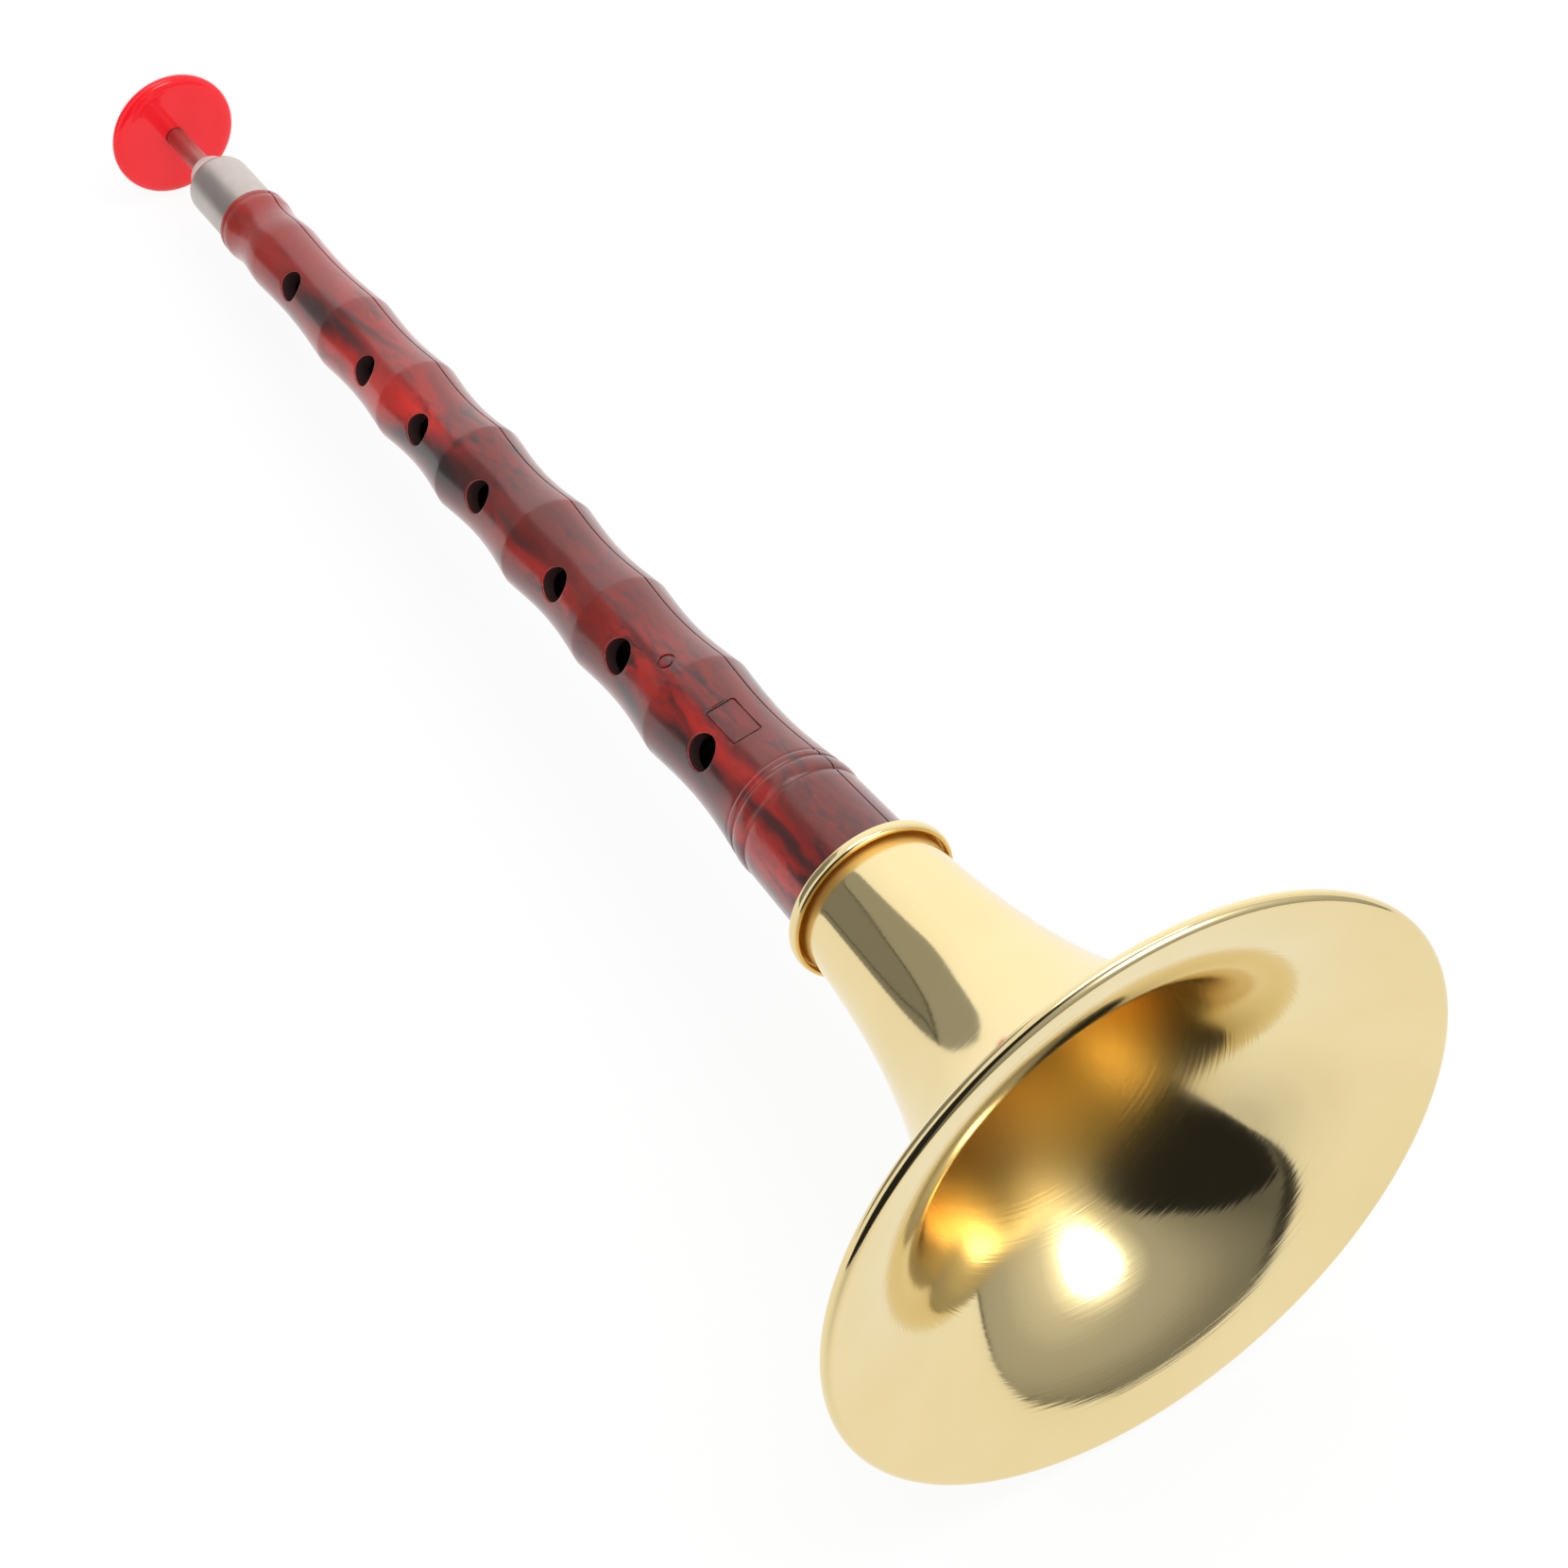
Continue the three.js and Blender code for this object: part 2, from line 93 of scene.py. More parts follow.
HEAD_SHARES = [
    (0, 1), (0.14, 0.72), (0.3, 0.25), (0.48, 0), (0.62, 0.25), (0.74, 0.8), (0.8, 1), (0.86, 1),
    (0.89, 0.7), (0.92, 0.95), (0.97, 0.95), (1, 0.55),
]
BORE_FOOT_RADIUS = 9.4
SOCKET_RADIUS = 3.9
SOCKET_DEPTH = 26
HOLE_DIAMETER = 6.6
FINGER_HOLE_SHARES = [
    (0.9189, 0.94), (0.7455, 0.955), (0.6314, 0.97), (0.5065, 0.985),
    (0.3514, 1.015), (0.2312, 1.03), (0.0789, 1.045),
]
THUMB_HOLE_SHARES = (0.8285, 0.97)
HOLE_TURN = -51
SEAM_TURN = 34
SEAM_GAP = 0.3
SEAM_EDGE = 0.08
HOLE_EDGE = 0.28
CUT_DEPTH = 0.09
INNER_DEPTH = 0.45

# Plain sunk marks
MARK_DEPTH = 0.3
MARK_EDGE = 0.1
PANEL_LENGTH = 10
PANEL_WIDTH = 6.2
PANEL_CORNER = 0.7
PANEL_FRAME = 0.4
PANEL_FIELD = 0.1
PANEL_PLACE_SHARE = 0.0783
PANEL_TURN = -7
RING_MARK_RADIUS = 1.8
RING_MARK_WIDTH = 0.6
RING_PLACE_SHARE = 0.1789
RING_TURN = -17

# Dark smoke in the plastic, as it lies in the photograph: the share along the ridged length,
# the turn, the length, the width, the slant in degrees and the strength.
SMOKE = [
    (-0.06, -42.5, 50, 3, 0, 0.9), (0.086, -55, 42, 3, -5, 0.9), (0.05, -62, 22, 4.5, -8, 0.75),
    (0.01, -92, 18, 8, 0, 0.75), (0.13, -92, 16, 7, 0, 0.7), (0.192, -72, 22, 8, 6, 0.85),
    (0.1, -23, 24, 1.8, 0, 0.6), (0.23, -26, 46, 2.4, 5, 0.65), (0.304, -12, 5, 8, 0, 0.3),
    (0.314, -78, 10, 5, 0, 0.5), (0.425, -42, 34, 3.4, -3, 0.7), (0.53, -44, 30, 4.5, 0, 0.85),
    (0.565, -57, 42, 14, -8, 1), (0.56, -48, 32, 8, -6, 1), (0.61, -68, 44, 10, -12, 1),
    (0.638, -75, 30, 8, -13, 0.95), (0.567, -20, 5, 6, 0, 0.7), (0.09, -70, 44, 8, 0, 0.85),
    (0.5, -26, 26, 2.6, 0, 0.5), (0.83, -26, 30, 2.4, 0, 0.35), (0.8, -34, 38, 5, 3, 0.85),
    (0.86, -44, 38, 7, 0, 0.95), (0.8, -10, 50, 3, -8, 0.75), (0.627, 8, 40, 3, 4, 0.4),
    (0.9, -94, 20, 7, 0, 0.6), (0.354, 12, 60, 4, 3, 0.35),
]

# Brighter red in the plastic, laid out as the smoke is
BRIGHT_RED = [
    (0.63, -37, 40, 9, 0, 0.9), (0.73, -55, 40, 11, 0, 0.6), (0.05, -34, 60, 5, 0, 0.55),
    (-0.06, -68, 40, 9, 0, 0.6), (0.2, -44, 44, 7, 0, 0.3), (0.36, -52, 36, 6, 0, 0.35),
    (0.79, -62, 22, 8, 0, 0.5), (0.7, 0, 40, 8, 0, 0.2),
]

# The plastic is a brighter red toward the head, with less smoke in it
BRIGHT_STATIONS = (200, 250)
CLEAN_STATIONS = (255, 295)

# Corks
CORK_LENGTH = 10
CORK_LIFT = 1
CORK_GROOVE = 0.6
CORK_EDGE = 0.15
WRAP_SHARES = (0.06, 0.38)

# Ferrule, staple and stopper
FERRULE_RADIUS = 7
FERRULE_WALL = 0.6
FERRULE_LENGTH = 17.8
FERRULE_EDGE = 0.3
LIP_REACH = 1.5
LIP_DROP = 1.6
LIP_SHARES = [(0, 1), (0.1, 0.62), (0.37, 0.25), (0.77, 0), (1, 0)]
STAPLE_TIP_RADIUS = 1.95
STAPLE_FOOT_RADIUS = 2.9
STAPLE_LENGTH = 68
STAPLE_WALL = 0.35
STAPLE_PAST_DISC = 7.2
PLUG_HEIGHT = 5.7
PLUG_STEM = 4
PLUG_EDGE = 0.7
PLUG_SHARES = [(1, 0), (0.97, 0.28), (0.9, 0.5), (0.79, 0.74), (0.67, 0.92), (0.56, 1)]

# Lip disc and reed
DISC_RADIUS = 14.1
DISC_THICKNESS = 3
DISC_EDGE_REACH = 3.4
DISC_EDGE_POWER = 2.3
DISC_GAP_FROM_FERRULE = 22.9
REED_LENGTH = 12.8
REED_BASE = 4
REED_RADIUS = 2.75
REED_TIP_HALF_WIDTH = 4.2
REED_TIP_HALF_DEPTH = 0.9
REED_WALL = 0.45
REED_TIP_WALL = 0.2
REED_LIFT = 2.2
REED_TURN = 40.9
BINDING_WIRE = 0.4
BINDING_PITCH = 0.85
BINDING_TURNS = 4

# Clearances
SEAT_GAP = 0.3
FIT_GAP = 0.2
WIRE_GAP = 0.12
OVERRUN = 3

# Colours, each with its darkest and lightest tone where it drifts
BRASS = ((0.8, 0.65, 0.33), (0.84, 0.7, 0.39))
# Painted shade: the deeper orange of the throat, standing for the light that bounces about in it
THROAT_PAINTED_SHADE = (0.84, 0.58, 0.19)
# Painted reflection: the orange of the groove under the collar, standing for brass reflecting
# brass
GROOVE_PAINTED_REFLECTION = (0.82, 0.53, 0.15)
NICKEL = ((0.49, 0.44, 0.405), (0.56, 0.5, 0.465))
COPPER = ((0.47, 0.29, 0.27), (0.56, 0.37, 0.34))
STOPPER_WHITE = ((0.5, 0.49, 0.47), (0.57, 0.56, 0.54))
DISC_RED = ((0.89, 0.008, 0.016), (0.92, 0.012, 0.022))
CANE = ((0.55, 0.37, 0.16), (0.78, 0.62, 0.36))
CORK = ((0.24, 0.12, 0.05), (0.55, 0.36, 0.2))
PLASTIC_RED = ((0.125, 0.006, 0.002), (0.32, 0.009, 0.003))
VIVID_RED = (0.6, 0.014, 0.008)
CUT_RED = (0.4, 0.025, 0.02)
SMOKE_BLACK = (0.014, 0.009, 0.009)
# Painted shade: the dark of the bore and the hole walls, which are the same red plastic in shade
HOLE_WALL_PAINTED_SHADE = (0.045, 0.024, 0.023)
FLOOR_WHITE = (0.93, 0.93, 0.93)

# Finishes: scales of space, roughness, and what noise and patches fade between
EVEN = (1, 1, 1)
ACROSS_AXIS = (1, 1, 0)
THROAT_ROUGHNESS = 0.36
GROOVE_ROUGHNESS = 0.4
DRIFT_ENDS = (0.3, 0.7)
PATCH_FADE = (0.15, 1.15)

# Light: the room's strength on the object, and white as it is seen
ROOM_LIGHT = 0.92
WHITE = 1
FLOOR_GLOW_SHARE = 0.88
FLOOR_REACH = 30
OVERHEAD_PLACE = (0.1, 0.3, 1.3)
OVERHEAD_SIZE = 1
OVERHEAD_POWER = 6

# Camera
CAMERA_RIGHT = (0.53499, 0.84490, 0.00037)
CAMERA_BACK = (0.52481, -0.33268, 0.78355)
CAMERA_PLACE = (0.39340, -0.20030, 0.52329)
CAMERA_SENSOR = 36
CAMERA_LENS = 79.5
CAMERA_CLIP = 0.01

# Cards that stand for the studio in reflections, round the bell and round its neck: places
# in metres, angles in degrees and levels where 1 is white
BELL_CENTRE = (0.17, 0, 0.06)
NECK_CENTRE = (0.12, 0, 0.05)
LAMP_AIM = (33, 45)
LAMP_LEVEL = 5
LAMP_GLOW = [(0.9, 0), (0.94, 0.3), (0.96, 0.6), (0.985, LAMP_LEVEL)]
ROOM_AIM = (50, 35)
ROOM_LEVELS = [(0.35, 0.14), (0.52, 0.27), (0.7, 0.45), (0.83, 0.5), (0.95, 0.7), (0.99, 0.85)]
DARK_LEVEL = 0.02
LEFT_LEVEL = 0.24
RIGHT_LEVEL = 0.37
TABLE_EDGE = [
    (-80, -7), (-45, -8), (-16, -13.1), (-7, -15.1), (-1, -15.6), (5, -16.6), (10, -18.7),
    (15, -19.4), (18, -19.6), (21, -20.7), (27, -19.2), (31, -18.7), (38, -15.6), (46, -13.5),
    (58, -11.6), (69, -11.6), (78, -11.6),
]
EDGE_WIDTHS = [0.4, 0.4, 3.5, 5, 4.4, 2.6, 1, 0.5, 0.7, 1, 1.2, 1.2, 0.7, 0.7, 1.2, 1.5, 1.5]
DARK_START = -76
DARK_ENDS = [
    (-7.4, -19), (-3, -19), (10, -21), (24, -23), (37, -24), (48, -19), (59, -12), (70, 0),
    (76, 20),
]
NEAR_AIM = (-48, -10)
NEAR_GLOW = [(0.64, 1), (0.87, 0.92), (0.97, 0.8), (0.995, 0.7)]
NEAR_LOW = -62
NEAR_RUNGS = [(-100, -9), (-80, -8), (-45, -8.5), (-16, -13.1), (-1, -15.6), (5, -16.6)]
NECK_START = -110
NECK_ROOM = [
    (-7.5, -155, -160), (-5.6, -155, -165), (-2.5, -154.5, -171), (2.3, -154, -173),
    (7, -153.6, -174), (14.3, -151.8, -173.5), (20, -150, -173.4), (25, -151, -175),
    (28.7, -150, -175.6), (32, -149, -172.5), (34, -149, -170), (38, -149, -165),
    (46, -149, -155),
]
NECK_LINE = (-0.4, 0.5)
NECK_EDGE_WIDTH = 0.9
ROOM_TOP = 88
WINDOW_AIM = (150, 10)
WINDOW_LEVEL = 1.26
WINDOW_REACH = 58
WINDOW_FADE = (0.5, 0.95)
CARD_REACHES = {
    "room": 0.42, "table": 0.43, "edge": 0.415, "panel": 0.4, "far": 0.6, "line": 0.595,
    "window": 0.7,
}
NECK_TABLE_EDGE = [(-110, -4), (-134, -2.6), (-141, -2.5), (-146, -1.8), (-151, -1.2), (-155, -7)]

# Mesh fineness
CARD_STEPS = 48
RUNG_STEPS = 8
BELL_SIDES = 240
FITTING_SIDES = 96
PIPE_ARC_STEPS = 88
BORE_ARC_STEPS = 36
FLARE_STEPS = 72
FLARE_STEP_POWER = 1.6
CURL_STEPS = 28
HOLE_SIDES = 56
FILLET_STEPS = 5
FILLET_END = 75
CORNER_STEPS = 8
DISC_EDGE_STEPS = 32
WIRE_SIDES = 12
REED_SIDES = 64
REED_STEPS = 40
BAY_STEP = 0.9
BAND_STEP = 0.11
HEAD_STEP = 0.5
FLANGE_STEP = 0.1
FLANGE_SHARE = 0.72
SMOOTH_ANGLE = 38
WELD = 1e-7

# Stations
NECK = BELL_LENGTH
COLLAR = NECK + COLLAR_RISE
FOOT = NECK - PIPE_TUCK
BAND = FOOT + STRAIGHT_LENGTH
TOP_RIDGE = BAND + RIDGED_LENGTH
HEAD = TOP_RIDGE + HEAD_LENGTH
TENON = HEAD + TENON_LENGTH
SOCKET = HEAD - SOCKET_DEPTH
FERRULE = HEAD + SEAT_GAP
FERRULE_TOP = FERRULE + FERRULE_LENGTH
DISC = FERRULE_TOP + DISC_GAP_FROM_FERRULE
STAPLE_TIP = DISC + STAPLE_PAST_DISC
STAPLE_FOOT = STAPLE_TIP - STAPLE_LENGTH
REED = DISC + DISC_THICKNESS / 2 + REED_LIFT
CORK_TOP = NECK + CORK_LIFT
CORK_FOOT = CORK_TOP - CORK_LENGTH

# Radii that pieces share
SHEET_EDGE_RADIUS = RIM_RADIUS - RIM_BEAD / 2
SHEET_EDGE = BELL_SHEET - RIM_BEAD / 2
NECK_THROAT = NECK_RADIUS - BELL_SHEET
COLLAR_REACH = (COLLAR_RADIUS - NECK_THROAT) / 2
COLLAR_TOP = COLLAR + COLLAR_REACH
FERRULE_BORE = FERRULE_RADIUS - FERRULE_WALL
LIP_BORE = FERRULE_RADIUS - LIP_REACH
PLUG_RADIUS = LIP_BORE - FIT_GAP

# Where the groove under the rolled collar, with its painted orange reflection, starts and ends
GROOVE_RADII = (COLLAR_RADIUS - 0.5, COLLAR_RADIUS - 0.2)
GROOVE_START = (NECK - 0.6, NECK + 0.4)
GROOVE_END = (COLLAR + 0.6, COLLAR + 0.9)


def mix(a, b, share):
    return a + (b - a) * share


def sweep(start, end, steps):
    """Even steps from a start to an end, with both in it."""
    return [mix(start, end, i / steps) for i in range(steps + 1)]


def heading(turn):
    """The cosine and the sine of a turn."""
    return math.cos(math.radians(turn)), math.sin(math.radians(turn))


def turned(x, y, turn):
    """A point turned round the axis."""
    cos, sin = heading(turn)
    return x * cos - y * sin, x * sin + y * cos


def all_round(count):
    """So many equal steps round a circle, in radians."""
    return [2 * math.pi * i / count for i in range(count)]


# Placement

def joint(name):
    return next(j for j in frame["joints"] if j["name"] == name)


def instrument_space():
    """The matrix from the instrument's space to the frame's, from the lip disc's joint."""
    axis = Vector(joint("disc_turn")["axis"]).normalized()
    side = Vector((0, 1, 0))
    up = side.cross(axis)
    mouth = Vector(joint("disc_turn")["pos_m"]) - axis * DISC * MM
    turn = Matrix((up, side, axis)).transposed().to_4x4()
    return Matrix.Translation(mouth) @ turn


SPACE = instrument_space()


def add_object(name, data):
    thing = bpy.data.objects.new(name, data)
    bpy.context.scene.collection.objects.link(thing)
    return thing


def add_piece(name, mesh, body, material, nodes):
    """Lays a mesh down as a piece that rides on a body and stands for its CAD nodes."""
    mesh.transform(SPACE)
    mesh.materials.append(material)
    piece = add_object(name, mesh)
    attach(piece, body)
    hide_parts(*nodes)


def finished_mesh(name, points, faces):
    """A closed smooth mesh in metres, with its faces pointing out."""
    mesh = bpy.data.meshes.new(name)
    mesh.from_pydata([tuple(c * MM for c in p) for p in points], [], faces)
    tidy = bmesh.new()
    tidy.from_mesh(mesh)
    bmesh.ops.remove_doubles(tidy, verts=tidy.verts, dist=WELD)
    bmesh.ops.recalc_face_normals(tidy, faces=tidy.faces)
    if tidy.calc_volume(signed=True) < 0:
        bmesh.ops.reverse_faces(tidy, faces=tidy.faces)
    tidy.to_mesh(mesh)
    tidy.free()
    shade(mesh)
    return mesh


def shade(mesh):
    mesh.polygons.foreach_set("use_smooth", [True] * len(mesh.polygons))
    mesh.set_sharp_from_angle(angle=math.radians(SMOOTH_ANGLE))
    mesh.update()


def mark(mesh, name, test):
    """Gives each face 1 or 0 in an attribute, by a test of its middle and its normal."""
    layer = mesh.attributes.new(name, "FLOAT", "FACE")
    for face in mesh.polygons:
        layer.data[face.index].value = 1 if test(face.center / MM, face.normal) else 0


# Outlines

def arc(radius, station, reach, start, end, steps):
    """Points round (radius, station), with angles in degrees."""
    angles = [math.radians(a) for a in sweep(start, end, steps)]
    return [(radius + reach * math.cos(a), station + reach * math.sin(a)) for a in angles]


def rounded(outline, reach, steps=4):
    """A closed outline with each corner rounded, by less where its sides are short."""
    result = []
    for i, corner in enumerate(outline):
        here = Vector(corner)
        before = Vector(outline[i - 1]) - here
        after = Vector(outline[(i + 1) % len(outline)]) - here
        cut = min(reach, before.length / 2.2, after.length / 2.2)
        start, end = here + before.normalized() * cut, here + after.normalized() * cut
        for t in sweep(0, 1, steps):
            result.append(tuple(start * (1 - t) ** 2 + here * 2 * t * (1 - t) + end * t * t))
    return result


def ring_faces(count, rings, closed=False):
    """The faces between rings of so many points, with a cap at each end unless it is closed."""
    faces = []
    for ring in range(rings if closed else rings - 1):
        here, there = ring * count, (ring + 1) % rings * count
        for i in range(count):
            j = (i + 1) % count
            faces.append((here + i, here + j, there + j, there + i))
    if not closed:
        faces += [tuple(range(count)), tuple(range((rings - 1) * count, rings * count))]
    return faces


def revolve(name, outline, sides):
    """A closed outline turned all the way round the axis."""
    points = [(r * math.cos(a), r * math.sin(a), s) for a in all_round(sides) for r, s in outline]
    return finished_mesh(name, points, ring_faces(len(outline), sides, closed=True))


def table_value(table, place):
    """A smooth curve through a table of (place, value), with flat tangents at its peaks."""
    last = len(table) - 1
    i = max(0, min(last - 1, sum(1 for p, _ in table if p <= place) - 1))
    (x0, y0), (x1, y1) = table[i], table[i + 1]

    def slope(k):
        if k in (0, last):
            return 0
        before = (table[k][1] - table[k - 1][1]) / (table[k][0] - table[k - 1][0])
        after = (table[k + 1][1] - table[k][1]) / (table[k + 1][0] - table[k][0])
        return 0 if before * after <= 0 else 2 * before * after / (before + after)

    width = x1 - x0
    t = min(1, max(0, (place - x0) / width))
    return (
        y0 * (1 + 2 * t) * (1 - t) ** 2 + slope(i) * width * t * (1 - t) ** 2
        + y1 * t * t * (3 - 2 * t) + slope(i + 1) * width * t * t * (t - 1)
    )


# Bell

def flare_radius(share):
    def fall(t):
        return (
            FLARE_SLOW_SHARE * math.exp(-t / FLARE_SLOW_REACH_SHARE)
            + (1 - FLARE_SLOW_SHARE) * math.exp(-t / FLARE_QUICK_REACH_SHARE)
        )
    rest = (NECK_RADIUS - SHEET_EDGE_RADIUS * fall(1)) / (1 - fall(1))
    return rest + (SHEET_EDGE_RADIUS - rest) * fall(share)


def offset_curve(curve, distance):
    result = []
    for i, (radius, station) in enumerate(curve):
        r0, s0 = curve[max(i - 1, 0)]
        r1, s1 = curve[min(i + 1, len(curve) - 1)]
        length = math.hypot(r1 - r0, s1 - s0)
        result.append((
            radius - distance * (s1 - s0) / length, station + distance * (r1 - r0) / length,
        ))
    return result


def collar_curl():
    """The collar from the neck's outside over to its lip, and back down to the throat."""
    centre, low = COLLAR_RADIUS - COLLAR_REACH, COLLAR - COLLAR_HANG
    hollow = COLLAR_REACH - BELL_SHEET
    lip = (COLLAR_REACH + hollow) / 2
    end = math.radians(COLLAR_CURL_END)
    return [
        *arc(centre, COLLAR, hollow, 180, 0, CURL_STEPS),
        *arc(centre, low, hollow, 0, COLLAR_CURL_END, CURL_STEPS // 2),
        *arc(
            centre + lip * math.cos(end), low + lip * math.sin(end), BELL_SHEET / 2,
            COLLAR_CURL_END - 180, COLLAR_CURL_END, CURL_STEPS // 3,
        )[1:-1],
        *arc(centre, low, COLLAR_REACH, COLLAR_CURL_END, 0, CURL_STEPS // 2),
        *arc(centre, COLLAR, COLLAR_REACH, 0, 180, CURL_STEPS),
    ]


def bell_outline():
    depth = NECK - SHEET_EDGE
    shares = [t ** FLARE_STEP_POWER for t in sweep(0, 1, FLARE_STEPS)]
    back = [(flare_radius(t), SHEET_EDGE + t * depth) for t in shares]
    front = offset_curve(back, BELL_SHEET)
    rim = RIM_BEAD / 2
    return [
        *arc(SHEET_EDGE_RADIUS, 0, rim, -90, RIM_CURL_END, CURL_STEPS),
        *arc(SHEET_EDGE_RADIUS, 0, rim - BELL_SHEET, RIM_CURL_END, -90, CURL_STEPS)[:-1],
        *back,
        *collar_curl(),
        *front[::-1],
    ]


def shows_in_mouth(place, normal):
    return normal.x * place.x + normal.y * place.y < 0 and place.z < NECK


def make_bell(material):
    mesh = revolve("bell_shell_fine", bell_outline(), BELL_SIDES)
    mark(mesh, "inside", shows_in_mouth)
    add_piece("bell_flare", mesh, "bell", material, ["bell_shell"])


def make_rim_wire(material):
    outline = arc(SHEET_EDGE_RADIUS, 0, RIM_WIRE / 2, 0, 360, WIRE_SIDES)[:-1]
    mesh = revolve("bell_rim_wire_fine", outline, BELL_SIDES)
    add_piece("rim_wire", mesh, "bell", material, ["bell_rim_wire"])


# Pipe

def bay_radius(share):
    share = min(1, max(0, share))
    upper = next(i for i in range(1, len(RIDGE_SHARES)) if RIDGE_SHARES[i][0] >= share)
    start, start_width, depth = RIDGE_SHARES[upper - 1]
    end, end_width, _ = RIDGE_SHARES[upper]
    along = (share - start) / (end - start)
    width = mix(TOP_RIDGE_RADIUS, BAND_RADIUS, mix(start_width, end_width, along))
    return width - BAY_SAG * depth * math.sin(math.pi * along) ** BAY_ROUNDNESS


def pipe_radius(station):
    """Outer radius of the pipe above the bell's collar, with the band and the head."""
    if station >= TOP_RIDGE:
        share = (station - TOP_RIDGE) / HEAD_LENGTH
        return mix(WAIST_RADIUS, FLANGE_RADIUS, table_value(HEAD_SHARES, share))
    if station >= BAND:
        radius = bay_radius((station - BAND) / RIDGED_LENGTH)
    else:
        radius = mix(FOOT_RADIUS, BAND_RADIUS, (station - COLLAR_TOP) / (BAND - COLLAR_TOP))
    place = 1 + (station - BAND) / BAND_HEIGHT
    if BAND_SHARES[0][0] < place < BAND_SHARES[-1][0]:
        radius += BAND_RELIEF * table_value(BAND_SHARES, place)
    return radius


def bore_radius(station):
    if station >= SOCKET:
        return SOCKET_RADIUS
    return mix(BORE_FOOT_RADIUS, SOCKET_RADIUS, (station - FOOT) / (SOCKET - FOOT))


def spread(start, end, step):
    """Even steps from a start up to an end that is left out, as near to a step as they come."""
    return sweep(start, end, max(1, round((end - start) / step)))[:-1]


def ridged_station(share):
    return BAND + share * RIDGED_LENGTH


def pipe_rings():
    """(station, outer radius) from the foot to the tenon's end."""
    floor, tenon = FOOT_RADIUS - CORK_GROOVE, FERRULE_BORE - FIT_GAP
    groove_foot, groove_top = CORK_FOOT - SEAT_GAP, CORK_TOP + SEAT_GAP
    flange = TOP_RIDGE + FLANGE_SHARE * HEAD_LENGTH
    band_start = BAND + BAND_HEIGHT * (BAND_SHARES[0][0] - 1)
    band_end = BAND + BAND_HEIGHT * (BAND_SHARES[-1][0] - 1)
    stations = [
        *spread(COLLAR_TOP, band_start, BAY_STEP * 2), *spread(band_start, band_end, BAND_STEP),
        *spread(band_end, TOP_RIDGE, BAY_STEP),
        *(ridged_station(share) for share, _, _ in RIDGE_SHARES[1:-1]),
        *spread(TOP_RIDGE, flange, HEAD_STEP), *spread(flange, HEAD, FLANGE_STEP), HEAD,
    ]
    return [
        (FOOT, FOOT_RADIUS - FOOT_EDGE), (FOOT + FOOT_EDGE, FOOT_RADIUS),
        (groove_foot, FOOT_RADIUS), (groove_foot, floor), (groove_top, floor),
        (groove_top, FOOT_RADIUS), *((s, pipe_radius(s)) for s in sorted(stations)),
        (HEAD, tenon), (TENON - FOOT_EDGE, tenon), (TENON, tenon - FOOT_EDGE),
    ]


def half_section(outer, inner):
    """The C shape of one half, as (x, y) points with the seam along x and its face at y > 0."""
    gap, edge = SEAM_GAP / 2, SEAM_EDGE
    lift, low = math.asin((gap + edge) / outer), math.asin(gap / inner)
    skin, bore = (
        [(radius * math.cos(a), radius * math.sin(a)) for a in sweep(start, end, steps)]
        for radius, start, end, steps in (
            (outer, lift, math.pi - lift, PIPE_ARC_STEPS),
            (inner, math.pi - low, low, BORE_ARC_STEPS),
        )
    )
    corner = [
        (outer - edge + edge * math.cos(b), gap + edge - edge * math.sin(b))
        for b in (math.radians(30 * k) for k in (1, 2, 3))
    ]
    return [*skin, *((-x, y) for x, y in corner), *bore, *corner[::-1]]


def half_pipe(name, turn):
    """One half of the pipe, whose seam runs at the given turn and the one opposite."""
    rings, points = pipe_rings(), []
    for station, outer in rings:
        section = half_section(outer, bore_radius(station))
        points += [(*turned(x, y, turn), station) for x, y in section]
    return finished_mesh(name, points, ring_faces(len(section), len(rings)))


def surface_point(turn, station, across, along, level, base):
    """A point over the pipe: across and along from a place on it, at a level over its skin
    or over its axis."""
    if base == "skin":
        radius = pipe_radius(station + along)
        level += math.sqrt(radius ** 2 - across ** 2)
    return (*turned(level, across, turn), station + along)


def cutter(name, outline, turn, station, rings, closed=False):
    """A tool that follows the pipe's skin. outline(outset) gives its points (across, along),
    and each ring is (scale, outset, level, base)."""
    points = []
    for scale, outset, level, base in rings:
        shape = outline(outset)
        points += [
            surface_point(turn, station, x * scale, y * scale, level, base) for x, y in shape
        ]
    faces = ring_faces(len(shape), len(rings), closed)
    return add_object(name, finished_mesh(name, points, faces))


def fillet_rings(edge, sign=1):
    """Rings that round an edge of the skin, from the wall up, and then leave the skin."""
    last = math.radians(FILLET_END)
    rings = []
    for i in range(FILLET_STEPS + 1):
        a = last * i / FILLET_STEPS
        rings.append((1, sign * edge * (1 - math.cos(a)), edge * (math.sin(a) - 1), "skin"))
    _, outset, level, _ = rings[-1]
    rings.append((1, outset + sign * edge * math.sin(last), level + edge * math.cos(last), "skin"))
    rings.append((1, outset + sign * edge * math.sin(last), OVERRUN, "skin"))
    return rings


def circle(radius):
    def outline(outset):
        reach = radius + outset
        return [(reach * math.cos(a), reach * math.sin(a)) for a in all_round(HOLE_SIDES)]
    return outline


def rounded_box(width, length, corner):
    def outline(outset):
        reach = corner + outset
        points = []
        for quarter, (sx, sy) in enumerate(((1, 1), (-1, 1), (-1, -1), (1, -1))):
            x, y = sx * (width / 2 - corner), sy * (length / 2 - corner)
            for turn in sweep(0, 90, CORNER_STEPS):
                cos, sin = heading(90 * quarter + turn)
                points.append((x + reach * cos, y + reach * sin))
        return points
    return outline


def hole_cutter(name, place, width, turn):
    radius = HOLE_DIAMETER * width / 2
    rings = [(1, 0, 0, "axis"), *fillet_rings(HOLE_EDGE)]
    return cutter(name, circle(radius), turn, ridged_station(place), rings)


